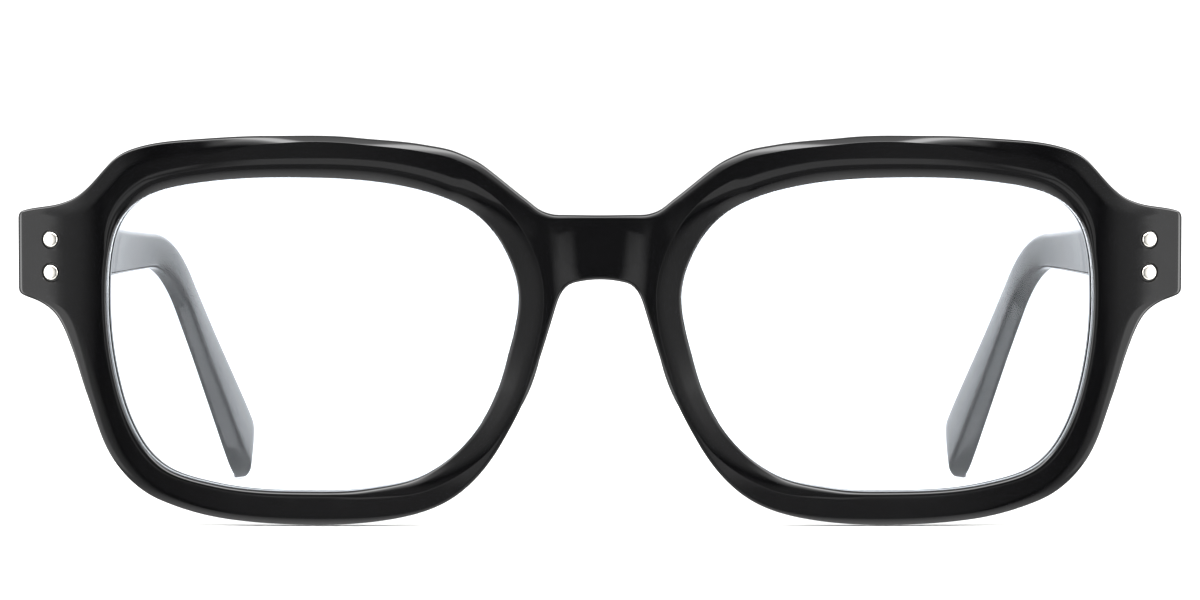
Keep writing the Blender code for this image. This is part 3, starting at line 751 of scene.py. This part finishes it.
def knuckle_outline(reach, low_side, sides=36):
    """A round end about the axis with an arm along +X; its lower side stands at -low_side."""
    last = 270
    if low_side < KNUCKLE_RADIUS:
        last = 360 - math.degrees(math.asin(low_side / KNUCKLE_RADIUS)) - ARM_OPENS
    angles = [math.radians(90 + (last - 90) * index / sides) for index in range(sides + 1)]
    outline = [KNUCKLE_RADIUS * Vector((math.cos(a), math.sin(a))) for a in angles]
    return outline + [Vector((reach, -low_side)), Vector((reach, KNUCKLE_RADIUS))]


def knuckles(numbers, outline, matrix):
    """Equal lugs at the given places of the five-knuckle barrel, counted from the middle."""
    half = KNUCKLE_HEIGHT / 2
    middles = [number * KNUCKLE_PITCH for number in numbers]
    return [placed(prism(outline, middle - half, middle + half), matrix) for middle in middles]


BARREL_BORE = turned([(HINGE_BORE, -BARREL_REACH), (HINGE_BORE, BARREL_REACH)])
STAND_UP = Matrix.Rotation(math.radians(90), 4, "X")
print("barrel height %.2f mm" % (4 * KNUCKLE_PITCH + KNUCKLE_HEIGHT))

# %% Build the front leaves
FRONT_KNUCKLE_LAP = 0.15
LEAF_BORE_AHEAD = 0.5
LEAF_BORE_PAST = 0.05


def front_leaf_pieces(side, word):
    low_x, high_x, half_height = FRONT_LEAF
    plate = prism(rounded_rectangle(low_x, high_x, half_height), AXIS_BEHIND, AXIS_BEHIND + LEAF_THICKNESS)
    upright = ENDPIECE_FRAME @ Matrix.Rotation(math.radians(-90), 4, "Z")
    knuckle = knuckle_outline(AXIS_BEHIND + FRONT_KNUCKLE_LAP, KNUCKLE_RADIUS)
    lugs = knuckles((-2, 0, 2), knuckle, upright)
    bore_from = SHEET - LEAF_THICKNESS - LEAF_BORE_AHEAD
    rivet_bore = turned([(RIVET_BORE, bore_from), (RIVET_BORE, SHEET + LEAF_BORE_PAST)])
    bores = [placed(BARREL_BORE, ENDPIECE_FRAME)]
    bores += [placed(rivet_bore, front_rivet_frame(rise)) for rise in FRONT_RIVET_RISES.values()]
    return make_piece(
        f"barrel_hinge_front_{word}", [placed(plate, ENDPIECE_FRAME @ STAND_UP)], "front",
        [f"front_hinge_leaf_{word}"], side, add=lugs, cut=bores, sharp=30)


front_leaves = [front_leaf_pieces(side, word) for side, word in SIDES]

# %% [markdown]
# ## The screws
#
# The hinge screw has a low domed head with one slot. Only the head and the tail show, so the thread is
# left out and the shank stays a plain pin. The slot is cut with a thin box, turned a little on one side,
# since no two screws stop at the same angle.

# %% Build the hinge screws
SCREW_RADIUS = 0.7
SCREW_HEAD = 1.15
SCREW_TOP = 2.5 * KNUCKLE_PITCH + 0.02
SLOT_HALF_WIDTH = 0.15
SLOT_FLOOR = 0.34
SLOT_TURNS = {"left": 24.0, "right": -61.0}
SCREW_PROFILE = [
    (0.45, -SCREW_TOP - 0.2), (0.58, -SCREW_TOP - 0.14), (SCREW_RADIUS, -SCREW_TOP + 0.02),
    (SCREW_RADIUS, SCREW_TOP), (SCREW_HEAD - 0.06, SCREW_TOP), (SCREW_HEAD, SCREW_TOP + 0.06),
    (SCREW_HEAD, SCREW_TOP + 0.3), (1.1, SCREW_TOP + 0.42), (0.98, SCREW_TOP + 0.54),
    (0.78, SCREW_TOP + 0.63), (0.5, SCREW_TOP + 0.68), (0.2, SCREW_TOP + 0.7),
]


def hinge_screw(side, word):
    slot = box((-2, -SLOT_HALF_WIDTH, SCREW_TOP + SLOT_FLOOR), (2, SLOT_HALF_WIDTH, SCREW_TOP + 2))
    turn = Matrix.Rotation(math.radians(SLOT_TURNS[word]), 4, "Z")
    return make_piece(
        f"slotted_screw_{word}", [placed(turned(SCREW_PROFILE), ENDPIECE_FRAME)], "front",
        [f"hinge_screw_{word}"], side, cut=[placed(slot, ENDPIECE_FRAME @ turn)], sharp=35)


screws = [hinge_screw(side, word) for side, word in SIDES]

# %% [markdown]
# ## The rivets
#
# The rivet heads are the only metal seen from the front. Each is a turned disc with an almost flat,
# polished top and a tight rim, standing a hair above the acetate. Its shank runs through to the leaf.

# %% Build the front rivets
RIVET_RADIUS = 0.6
RIVET_HEAD = 0.935
RIVET_UNDERSIDE = 0.22
RIVET_END_IN = 0.08
RIVET_END_BACK = 0.06
FRONT_RIVET_SHORT = 0.1


def rivet_shape(length):
    return turned([
        (0.3, -0.092), (0.6, -0.088), (0.78, -0.078), (0.87, -0.05), (0.92, 0.01), (RIVET_HEAD, 0.08),
        (RIVET_HEAD, RIVET_UNDERSIDE), (RIVET_RADIUS, RIVET_UNDERSIDE),
        (RIVET_RADIUS, length - RIVET_END_BACK), (RIVET_RADIUS - RIVET_END_IN, length)])


front_rivets = [
    make_piece(
        f"polished_rivet_{level}_{word}",
        [placed(rivet_shape(SHEET - FRONT_RIVET_SHORT), front_rivet_frame(rise))],
        "front", [f"front_rivet_{level}_{word}"], side)
    for side, word in SIDES for level, rise in FRONT_RIVET_RISES.items()
]

# %% [markdown]
# ## The temples
#
# A temple is a flat blade shot with a steel core. It leaves the hinge straight, narrows towards the ear,
# turns in a little towards the head and then drops behind the ear in one bend. Its path is walked in
# small steps, turning the heading as it goes, and a rounded section is placed at each step. A curve
# object with a taper could do the same, but it could not give the section a different height and
# thickness.

# %% The temple's path and widths
TEMPLE_GAP = 0.15
TEMPLE_OUTSIDE = 71.45
TEMPLE_LENGTH = 135.0
TEMPLE_RISE = math.radians(1.0)
DROP_START = 79.0
DROP_RADIUS = 24.0
DROP_ANGLE = math.radians(45.0)
TOE_START = 36.0
TOE_LENGTH = 50.0
TOE_FIRST = math.radians(0.5)
TOE_LAST = math.radians(10.7)
BLADE_HEIGHTS = [
    (0.0, 9.6), (48.0, 7.2), (66.0, 5.9), (80.0, 4.9), (97.0, 5.9), (127.0, 9.6), (136.0, 9.6),
]
BLADE_THICKNESS = [(0.0, 4.0), (48.0, 3.3), (86.0, 2.9), (108.0, 3.0), (136.0, 3.9)]
BUTT_THICKNESS = BLADE_THICKNESS[0][1]
BLADE_PASSES = 8
TIP_STOPS = [
    (0.0, -3.55, -3.1, 0.4), (0.1, -3.75, -2.9, 0.52), (0.3, -3.95, -2.4, 0.62), (0.6, -4.1, -1.5, 0.7),
    (1.1, -4.3, 0.0, 0.78), (1.8, -4.5, 1.95, 0.87), (2.3, -4.62, 3.35, 0.92), (2.7, -4.7, 4.1, 0.95),
    (3.1, -4.75, 4.55, 0.98), (3.9, -4.8, 4.8, 1.0),
]
PATH_STEP = 0.1


def butt_slide(point):
    """The point moved along Y onto the butt plane, just behind the endpiece's back face."""
    normal = ENDPIECE_FRAME.to_3x3() @ Vector((0, 1, 0))
    foot = ENDPIECE_FRAME @ Vector((0, TEMPLE_GAP - AXIS_BEHIND, 0))
    return point + Vector((0, (foot - point).dot(normal) / normal.y, 0))


def temple_path():
    """(distance, middle, across, upward) along the temple."""
    half = BUTT_THICKNESS / 2
    point = butt_slide(Vector((TEMPLE_OUTSIDE - half, 0.0, HINGE_RISE)))
    path = []
    for index in range(round(TEMPLE_LENGTH / PATH_STEP) + 1):
        distance = index * PATH_STEP
        pitch = TEMPLE_RISE - min(max((distance - DROP_START) / DROP_RADIUS, 0.0), DROP_ANGLE)
        share = min(max((distance - TOE_START) / TOE_LENGTH, 0.0), 1.0)
        toe = TOE_FIRST + (TOE_LAST - TOE_FIRST) * share
        forward = Vector((-math.sin(toe), math.cos(toe) * math.cos(pitch), math.cos(toe) * math.sin(pitch)))
        upward = Vector((0.0, -math.sin(pitch), math.cos(pitch)))
        path.append((distance, point.copy(), forward.cross(upward), upward))
        point += forward * PATH_STEP
    return path


PATH = temple_path()


def each_millimetre(stops):
    """A value for each millimetre along the blade, softened between its stops."""
    distances = range(math.ceil(TEMPLE_LENGTH) + 2)
    return softened([read_stops(stops, distance)[0] for distance in distances], BLADE_PASSES)


HEIGHTS = each_millimetre(BLADE_HEIGHTS)
THICKNESSES = each_millimetre(BLADE_THICKNESS)
print("temple path ends at", tuple(round(value, 1) for value in PATH[-1][1]))

# %% Build the temples
BLADE_ROUNDING = 0.95
BLADE_CROWN = 0.15
CORNER_STEPS = 7
FLAT_STEPS = 6
TEMPLE_LEAF = (-0.4, 12.2, 2.3)
TEMPLE_RIVETS = {"front": 4.4, "rear": 9.8}
CORE_LOW = 3.25
CHANNEL_RADIUS = 0.8
CHANNEL_SHOWS = 5.0
CHANNEL_AHEAD = 3.0
CHANNEL_SIDES = 32
TIP_LENGTH = TIP_STOPS[-1][0]
TIP_RINGS = (3.9, 3.5, 3.1, 2.9, 2.7, 2.5, 2.3, 2.0, 1.8, 1.5, 1.1, 0.8, 0.6, 0.3, 0.1, 0.0)


def blade_ring(middle, across, upward, low, high, thickness):
    """A rounded rectangle with slightly crowned sides, clockwise seen from the hinge."""
    half = thickness / 2
    half_height = (high - low) / 2
    rounding = min(BLADE_ROUNDING, half * ROUND_SHARE, half_height * ROUND_SHARE)
    ring = []
    corners = [(1, 1, 0), (-1, 1, 90), (-1, -1, 180), (1, -1, 270)]
    for side_x, side_z, start in corners:
        for step in range(CORNER_STEPS + 1):
            angle = math.radians(start + 90 * step / CORNER_STEPS)
            ring.append((side_x * (half - rounding) + rounding * math.cos(angle),
                         side_z * (half_height - rounding) + rounding * math.sin(angle)))
        if start in (90, 270):
            tall = side_z * (half_height - rounding)
            ring += [(ring[-1][0], tall * (1 - 2 * step / FLAT_STEPS)) for step in range(1, FLAT_STEPS)]
    centre = (high + low) / 2
    placed_ring = []
    for x, z in ring:
        crown = BLADE_CROWN * (1 - (z / half_height) ** 2) * x / half
        placed_ring.append(middle + across * (x + crown - BLADE_CROWN * x / half) + upward * (centre + z))
    return placed_ring


def blade_at(values, distance):
    low = int(distance)
    return values[low] + (values[low + 1] - values[low]) * (distance - low)


def station(distance):
    _, middle, across, upward = PATH[round(distance / PATH_STEP)]
    return middle, across, upward


def temple_shape():
    """Rings each millimetre along the blade, then closer ones through the tip, thinned on its inner side."""
    rings = []
    for distance in range(int(TEMPLE_LENGTH - TIP_LENGTH)):
        half_height = blade_at(HEIGHTS, distance) / 2
        thickness = blade_at(THICKNESSES, distance)
        rings.append(blade_ring(*station(distance), -half_height, half_height, thickness))
    for left in TIP_RINGS:
        low, high, share = read_stops(TIP_STOPS, left)
        distance = TEMPLE_LENGTH - left
        middle, across, upward = station(distance)
        thickness = blade_at(THICKNESSES, distance)
        middle = middle + across * (1 - share) * thickness / 2
        rings.append(blade_ring(middle, across, upward, low, high, share * thickness))
    rings[0] = [butt_slide(point) for point in rings[0]]
    return loft([ring[::-1] for ring in rings])


def temple_rivet_frame(distance):
    """The frame of a temple rivet: z runs from the outer face in toward the leaf."""
    middle, across, _ = station(distance)
    face = middle + across * blade_at(THICKNESSES, distance) / 2
    return Matrix.Translation(face) @ Matrix.Rotation(math.radians(-90), 4, "Y")


def temple_cutters():
    start, end, half_height = TEMPLE_LEAF
    inside = TEMPLE_OUTSIDE - BUTT_THICKNESS
    pocket = box(
        (inside - CUT_PAST, AXIS_FOOT.y + start - LEAF_FIT, HINGE_RISE - half_height - LEAF_FIT),
        (inside + LEAF_THICKNESS + LEAF_FIT, AXIS_FOOT.y + end + LEAF_FIT,
         HINGE_RISE + half_height + LEAF_FIT))
    dish = turned([*DISH, (RIVET_BORE, BUTT_THICKNESS - LEAF_THICKNESS / 2)])
    cutters = [pocket] + [placed(dish, temple_rivet_frame(distance)) for distance in TEMPLE_RIVETS.values()]
    middle, _, upward = station(0.0)
    channel = turned([(CHANNEL_RADIUS, -CHANNEL_AHEAD), (CHANNEL_RADIUS, CHANNEL_SHOWS)], CHANNEL_SIDES)
    lie_back = Matrix.Translation(middle - upward * CORE_LOW) @ Matrix.Rotation(math.radians(-90), 4, "X")
    return cutters + [placed(channel, lie_back)]


temples = [
    make_piece(
        f"acetate_temple_{word}", [temple_shape()], f"temple_arm_{word}", [f"temple_{word}"],
        side, cut=temple_cutters(), sharp=32)
    for side, word in SIDES
]

# %% [markdown]
# ## The temple's half of the hinge
#
# The temple leaf is a long plate let into the blade's inner face. Its two knuckles drop between the
# front leaf's three with 0.08 mm to spare, and they turn with the temple.

# %% Build the temple leaves and rivets
ARM_FRONT = 0.3
TEMPLE_KNUCKLE_LAP = 0.3
TEMPLE_RIVET_BORE = [(RIVET_BORE, 1.0), (RIVET_BORE, 5.0)]
TEMPLE_RIVET_SHORT = 0.02


def temple_leaf(side, word):
    start, end, half_height = TEMPLE_LEAF
    inside = TEMPLE_OUTSIDE - BUTT_THICKNESS
    outline = rounded_rectangle(AXIS_FOOT.y + start, AXIS_FOOT.y + end, half_height)
    plate = prism(outline, inside, inside + LEAF_THICKNESS)
    turn = Matrix(((0, 0, 1, 0), (1, 0, 0, 0), (0, 1, 0, HINGE_RISE), (0, 0, 0, 1)))
    knuckle = knuckle_outline(inside - HINGE_ACROSS + TEMPLE_KNUCKLE_LAP, ARM_FRONT)
    lugs = knuckles((-1, 1), knuckle, TEMPLE_SIDE_FRAME)
    bores = [placed(BARREL_BORE, TEMPLE_SIDE_FRAME)]
    rivet_bore = turned(TEMPLE_RIVET_BORE)
    bores += [placed(rivet_bore, temple_rivet_frame(distance)) for distance in TEMPLE_RIVETS.values()]
    return make_piece(
        f"barrel_hinge_temple_{word}", [placed(plate, turn)], f"temple_arm_{word}",
        [f"temple_hinge_leaf_{word}"], side, add=lugs, cut=bores, sharp=30)


temple_leaves = [temple_leaf(side, word) for side, word in SIDES]
temple_rivets = [
    make_piece(
        f"temple_rivet_{place}_polished_{word}",
        [placed(rivet_shape(BUTT_THICKNESS - TEMPLE_RIVET_SHORT), temple_rivet_frame(distance))],
        f"temple_arm_{word}", [f"temple_rivet_{place}_{word}"], side)
    for side, word in SIDES for place, distance in TEMPLE_RIVETS.items()
]

# %% [markdown]
# ## Colours and nodes
#
# Colours are written as the sRGB hex values a paint program shows, and one function turns them into the
# linear values that light needs. One more function adds any node with its settings and links, so each
# finish below reads as a list of what it is made of.

# %% Helpers for finishes
def colour(hex_value):
    """Linear RGBA from an sRGB hex value."""
    channels = [int(hex_value[start:start + 2], 16) / 255 for start in (1, 3, 5)]
    return (*[c / 12.92 if c <= 0.04045 else ((c + 0.055) / 1.055) ** 2.4 for c in channels], 1.0)


def add_node(tree, kind, inputs=None, **settings):
    """One node with its settings. An input is a value, or another node's socket to link from."""
    node = tree.nodes.new("ShaderNode" + kind)
    for name, value in settings.items():
        setattr(node, name, value)
    for name, value in (inputs or {}).items():
        if isinstance(value, bpy.types.NodeSocket):
            tree.links.new(value, node.inputs[name])
        else:
            node.inputs[name].default_value = value
    return node


def new_finish(name):
    """A material with an empty tree, and its object coordinates in metres."""
    material = bpy.data.materials.new(name)
    material.use_nodes = True
    material.node_tree.nodes.clear()
    return material, material.node_tree, add_node(material.node_tree, "TexCoord").outputs["Object"]


def per_metre(size_mm):
    """A texture scale from the size of one feature in millimetres."""
    return 1 / (size_mm * MM)


print("black acetate in linear light:", [round(value, 5) for value in colour("#020203")])

# %% [markdown]
# ## Black cellulose acetate
#
# The front and the temples are black cellulose acetate: milled from sheet, tumbled in drums of wood chips
# and polished on a wheel. That leaves a deep black with a clear, wet-looking gloss, so nearly everything
# seen on it is a reflection. Three things keep the front from looking like poured glass: the wheel leaves a
# waviness of a few microns over several millimetres, the gloss is a touch duller in patches where it was
# wiped, and the colour is not one perfect black. The temples share the black and the gloss, and their
# waviness is left out. A coat layer is not used, since the acetate is one material through.

# %% Make the acetate finish
FRONT_WAVINESS = (7.0, 0.005)
WIPE_SIZE = 3.0
CLOUD_SIZE = 16.0
WIPE_SEEN = (0.35, 0.7)
ACETATE_GLOSS = (0.035, 0.075)
ACETATE_IOR = 1.48


def acetate_finish(name, waviness=None):
    material, tree, place = new_finish(name)
    cloud = add_node(tree, "TexNoise", {"Vector": place, "Scale": per_metre(CLOUD_SIZE), "Detail": 3.0})
    tint = add_node(tree, "Mix", {0: cloud.outputs[0], 6: colour("#020203"), 7: colour("#050506")},
                    data_type="RGBA")
    wipe = add_node(tree, "TexNoise", {"Vector": place, "Scale": per_metre(WIPE_SIZE), "Detail": 4.0})
    low, high = WIPE_SEEN
    smooth, dull = ACETATE_GLOSS
    gloss = add_node(tree, "MapRange", {"Value": wipe.outputs[0], 1: low, 2: high, 3: smooth, 4: dull})
    shader = add_node(tree, "BsdfPrincipled", {
        "Base Color": tint.outputs[2], "Roughness": gloss.outputs[0], "IOR": ACETATE_IOR})
    if waviness:
        size, height = waviness
        wave = add_node(tree, "TexNoise", {"Vector": place, "Scale": per_metre(size), "Detail": 0.0})
        bump = add_node(tree, "Bump", {"Height": wave.outputs[0], "Distance": height * MM})
        tree.links.new(bump.outputs[0], shader.inputs["Normal"])
    add_node(tree, "OutputMaterial", {"Surface": shader.outputs[0]})
    return material


SHEET_ACETATE = acetate_finish("polished_black_cellulose_acetate", FRONT_WAVINESS)
TEMPLE_ACETATE = acetate_finish("pressed_and_polished_temple_acetate")
print(SHEET_ACETATE.name, len(SHEET_ACETATE.node_tree.nodes), "nodes")

# %% [markdown]
# ## Clear lens resin
#
# The demonstration lenses are cast allyl resin, IOR 1.498, without a coating. The resin is almost
# perfectly clear, with the slightest cool tint, and casting leaves both faces mirror smooth. All the
# light goes through the shader's transmission, so the temples behind are seen bent by the real
# thickness.

# %% Make the resin finish
CAST_SIZE = 25.0
RESIN_GLOSS = (0.0, 0.01)
RESIN_IOR = 1.498


def resin_finish():
    material, tree, place = new_finish("cast_clear_lens_resin")
    cast = add_node(tree, "TexNoise", {"Vector": place, "Scale": per_metre(CAST_SIZE), "Detail": 2.0})
    tint = add_node(tree, "Mix", {0: cast.outputs[0], 6: colour("#EFF5FD"), 7: colour("#F4F9FF")},
                    data_type="RGBA")
    smooth, dull = RESIN_GLOSS
    gloss = add_node(tree, "MapRange", {"Value": cast.outputs[0], 3: smooth, 4: dull})
    shader = add_node(tree, "BsdfPrincipled", {
        "Base Color": tint.outputs[2], "Roughness": gloss.outputs[0], "IOR": RESIN_IOR,
        "Transmission Weight": 1.0})
    add_node(tree, "OutputMaterial", {"Surface": shader.outputs[0]})
    return material


RESIN = resin_finish()
print(RESIN.name, len(RESIN.node_tree.nodes), "nodes")

# %% [markdown]
# ## The metals
#
# Rivets and hinge leaves are nickel silver, a pale warm alloy of copper, nickel and zinc. The rivet
# heads are turned and then polished with the front, which leaves only a faint unevenness under a mirror.
# The leaves are milled and keep a fine straight grain. The screws and the wire cores are bright steel and
# greyer: the screws carry turning marks round them, and the cores have drawn lines along their length.
# One function makes all four, since only the marks, the tint and the polish differ. The marks are a
# noise, and on all but the rivets it is stretched one way.

# %% Make the metal finishes
TARNISH_SIZE = 1.5
MARKS_SEEN = (0.3, 0.7)


def metal_finish(name, dark, light, mark_sizes, mark_height, smooth, dull):
    """A metal whose marks have the given size in millimetres along x, y and z."""
    material, tree, place = new_finish(name)
    scales = [per_metre(size) for size in mark_sizes]
    stretch = add_node(tree, "Mapping", {"Vector": place, "Scale": scales})
    marks = add_node(tree, "TexNoise", {"Vector": stretch.outputs[0], "Scale": 1.0, "Detail": 3.0})
    tarnish = add_node(tree, "TexNoise", {"Vector": place, "Scale": per_metre(TARNISH_SIZE), "Detail": 2.0})
    tint = add_node(tree, "Mix", {0: tarnish.outputs[0], 6: colour(dark), 7: colour(light)},
                    data_type="RGBA")
    low, high = MARKS_SEEN
    gloss = add_node(tree, "MapRange", {"Value": marks.outputs[0], 1: low, 2: high, 3: smooth, 4: dull})
    bump = add_node(tree, "Bump", {"Height": marks.outputs[0], "Distance": mark_height * MM})
    shader = add_node(tree, "BsdfPrincipled", {
        "Base Color": tint.outputs[2], "Metallic": 1.0, "Roughness": gloss.outputs[0],
        "Normal": bump.outputs[0]})
    add_node(tree, "OutputMaterial", {"Surface": shader.outputs[0]})
    return material


RIVET_SILVER = metal_finish(
    "turned_and_polished_nickel_silver", "#E9E5DC", "#F6F3EC", (0.5, 0.5, 0.5), 0.0005, 0.06, 0.12)
LEAF_SILVER = metal_finish("milled_nickel_silver", "#CFC9BC", "#E2DDD0", (0.12, 3.0, 0.12), 0.003, 0.16, 0.32)
SCREW_STEEL = metal_finish("turned_bright_steel", "#A9ABAE", "#C6C8CB", (1.2, 1.2, 0.08), 0.002, 0.14, 0.3)
WIRE_STEEL = metal_finish("drawn_steel_wire", "#B4B6B8", "#CACCCE", (0.06, 5.0, 0.06), 0.003, 0.2, 0.38)

# %% Give each piece its finish
def dress(pieces, material):
    for piece in pieces:
        piece.data.materials.clear()
        piece.data.materials.append(material)


dress([front, *pads], SHEET_ACETATE)
dress(temples, TEMPLE_ACETATE)
dress(lenses, RESIN)
dress(front_rivets + temple_rivets, RIVET_SILVER)
dress(front_leaves + temple_leaves, LEAF_SILVER)
dress(screws, SCREW_STEEL)
for _, word in SIDES:
    for slot in frame["nodes"][f"temple_core_{word}"].material_slots:
        slot.material = WIRE_STEEL

# %% [markdown]
# ## The floor and the light
#
# The spectacles stand on a white board that runs off into a white room. A polished black piece shows its
# surroundings, so the light is built as a studio by direction: azimuth is counted from the camera's side
# and is the same left and right, elevation is counted from the horizon. Straight ahead is the dark
# camera zone. Beyond 40 degrees are two tall light banks, which the turned endpieces show as a bright
# band. A pair of small boxes below the camera gives the crisp strips on the upper rims. Lamps with
# softboxes could do this too, but each would need its own place by trial, and a direction map gives the
# same on every run.

# %% Make the floor
FLOOR_SIDE = 6.0
FLOOR_GAP = 0.1
BOARD_GRAIN = 40.0
BOARD_ROUGHNESS = 0.7


def floor_finish():
    material, tree, place = new_finish("painted_white_board")
    grain = add_node(tree, "TexNoise", {"Vector": place, "Scale": per_metre(BOARD_GRAIN), "Detail": 4.0})
    tint = add_node(tree, "Mix", {0: grain.outputs[0], 6: colour("#F5F5F4"), 7: colour("#F9F9F8")},
                    data_type="RGBA")
    shader = add_node(tree, "BsdfPrincipled", {
        "Base Color": tint.outputs[2], "Roughness": BOARD_ROUGHNESS})
    add_node(tree, "OutputMaterial", {"Surface": shader.outputs[0]})
    return material


def add_floor():
    half = FLOOR_SIDE / 2
    mesh = bpy.data.meshes.new("white_board")
    corners = [(-half, -half, 0), (half, -half, 0), (half, half, 0), (-half, half, 0)]
    mesh.from_pydata(corners, [], [(0, 1, 2, 3)])
    board = bpy.data.objects.new("white_board", mesh)
    bpy.context.scene.collection.objects.link(board)
    board.location.z = CAD_BOX[0].z - FLOOR_GAP * MM
    board.visible_glossy = False
    mesh.materials.append(floor_finish())
    board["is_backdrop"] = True
    return board


floor = add_floor()

# %% Light the studio
ROOM_LIGHT = 1.7
BRIGHTEST = 12.0
SIDES_AND_BACK = [
    (18, 0.09), (20, 0.09), (24, 0.3), (28, 0.5), (36, 0.67), (39, 1.0), (41.5, 1.9), (58, 1.9), (61, 7.0),
    (71, 7.0), (74, 1.2), (120, 1.0), (150, 1.0), (165, 1.45), (180, 1.5),
]
AROUND_HIGH = [(0, 0.14), (5.5, 0.15), (8, 0.25), (10.5, 0.33), (13, 0.3), (16, 0.18), *SIDES_AND_BACK]
AROUND_LOW = [(0, 0.33), (10.5, 0.33), (13, 0.3), (16, 0.18), *SIDES_AND_BACK]
LOW_SHARE = [(-90, 1.0), (-11, 1.0), (-8, 0.0), (90, 0.0)]
ABOVE_AND_BELOW = [
    (-90, 2.6), (-60, 2.0), (-40, 1.1), (-33, 0.7), (-28, 1.0), (24, 1.0), (30, 1.6), (36, 5.0), (40, 12.0),
    (45, 12.0), (49, 2.6), (60, 2.0), (72, 0.7), (90, 0.7),
]
BEHIND = [(-90, 0.8), (-30, 0.45), (0, 1.0), (25, 1.8), (90, 1.6)]
BEHIND_SHARE = [(0, 0.0), (85, 0.0), (105, 1.0), (180, 1.0)]
CAMERA_ZONE = [(-90, 0.0), (-33, 0.0), (-30, 1.0), (22, 1.0), (27, 0.0), (90, 0.0)]
LONG_BOX = ([(0, 0.0), (2.2, 0.0), (4.8, 1.0), (12.3, 1.0), (12.8, 0.0), (180, 0.0)],
            [(-90, 0.0), (-15.4, 0.0), (-15, 1.0), (-3.3, 1.0), (-3, 0.0), (90, 0.0)])
SHORT_BOX = ([(0, 0.0), (13.8, 0.0), (14.1, 1.0), (16.8, 1.0), (17.1, 0.0), (180, 0.0)],
             [(-90, 0.0), (-9.2, 0.0), (-8.8, 1.0), (-3.0, 1.0), (-2.7, 0.0), (90, 0.0)])


def product(tree, one, other):
    return add_node(tree, "Math", {0: one, 1: other}, operation="MULTIPLY").outputs[0]


def ramp(tree, angle, stops):
    """Light read between stops of (degrees, value)."""
    first, last = stops[0][0], stops[-1][0]
    share = add_node(tree, "MapRange", {"Value": angle, 1: math.radians(first), 2: math.radians(last)})
    node = add_node(tree, "ValToRGB", {"Fac": share.outputs[0]})
    elements = node.color_ramp.elements
    elements.remove(elements[1])
    for index, (degrees, value) in enumerate(stops):
        position = (degrees - first) / (last - first)
        element = elements.new(position) if index else elements[0]
        element.position = position
        element.color = (value / BRIGHTEST,) * 3 + (1.0,)
    return product(tree, node.outputs[0], BRIGHTEST)


def blend(tree, share, low, high):
    return add_node(tree, "Mix", {0: share, 2: low, 3: high}, data_type="FLOAT").outputs[0]


def light_studio():
    world = bpy.data.worlds.new("white_studio")
    bpy.context.scene.world = world
    world.use_nodes = True
    tree = world.node_tree
    tree.nodes.clear()
    direction = add_node(tree, "TexCoord").outputs["Generated"]
    parts = add_node(tree, "SeparateXYZ", {0: direction}).outputs
    across = add_node(tree, "Math", {0: parts[0]}, operation="ABSOLUTE").outputs[0]
    toward = product(tree, parts[1], -1.0)
    azimuth = add_node(tree, "Math", {0: across, 1: toward}, operation="ARCTAN2").outputs[0]
    elevation = add_node(tree, "Math", {0: parts[2]}, operation="ARCSINE").outputs[0]

    around = blend(tree, ramp(tree, elevation, LOW_SHARE), ramp(tree, azimuth, AROUND_HIGH),
                   ramp(tree, azimuth, AROUND_LOW))
    light = blend(tree, ramp(tree, elevation, CAMERA_ZONE), ramp(tree, elevation, ABOVE_AND_BELOW), around)
    behind = product(tree, ramp(tree, elevation, BEHIND), around)
    light = blend(tree, ramp(tree, azimuth, BEHIND_SHARE), light, behind)
    for sideways, upright in (LONG_BOX, SHORT_BOX):
        inside = product(tree, ramp(tree, azimuth, sideways), ramp(tree, elevation, upright))
        light = blend(tree, inside, light, 1.0)
    mirrored = add_node(tree, "LightPath").outputs["Is Reflection Ray"]
    light = blend(tree, mirrored, ROOM_LIGHT, light)
    sky = add_node(tree, "Background", {"Color": (1.0, 1.0, 1.0, 1.0), "Strength": light})
    add_node(tree, "OutputWorld", {"Surface": sky.outputs[0]})


light_studio()
bpy.context.scene.view_settings.view_transform = "Standard"
print("room light", ROOM_LIGHT)

# %% [markdown]
# ## Finish
#
# The looks must not change the size of the imported model, so both boxes are printed side by side.

# %% Print the sizes and finish
boxes = {"cad": CAD_BOX, "visual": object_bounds()}
sizes = {name: [list(corner) for corner in corners] for name, corners in boxes.items()}
for name, (low, high) in sizes.items():
    print(name, "box mm", [round((b - a) / MM, 1) for a, b in zip(low, high)])
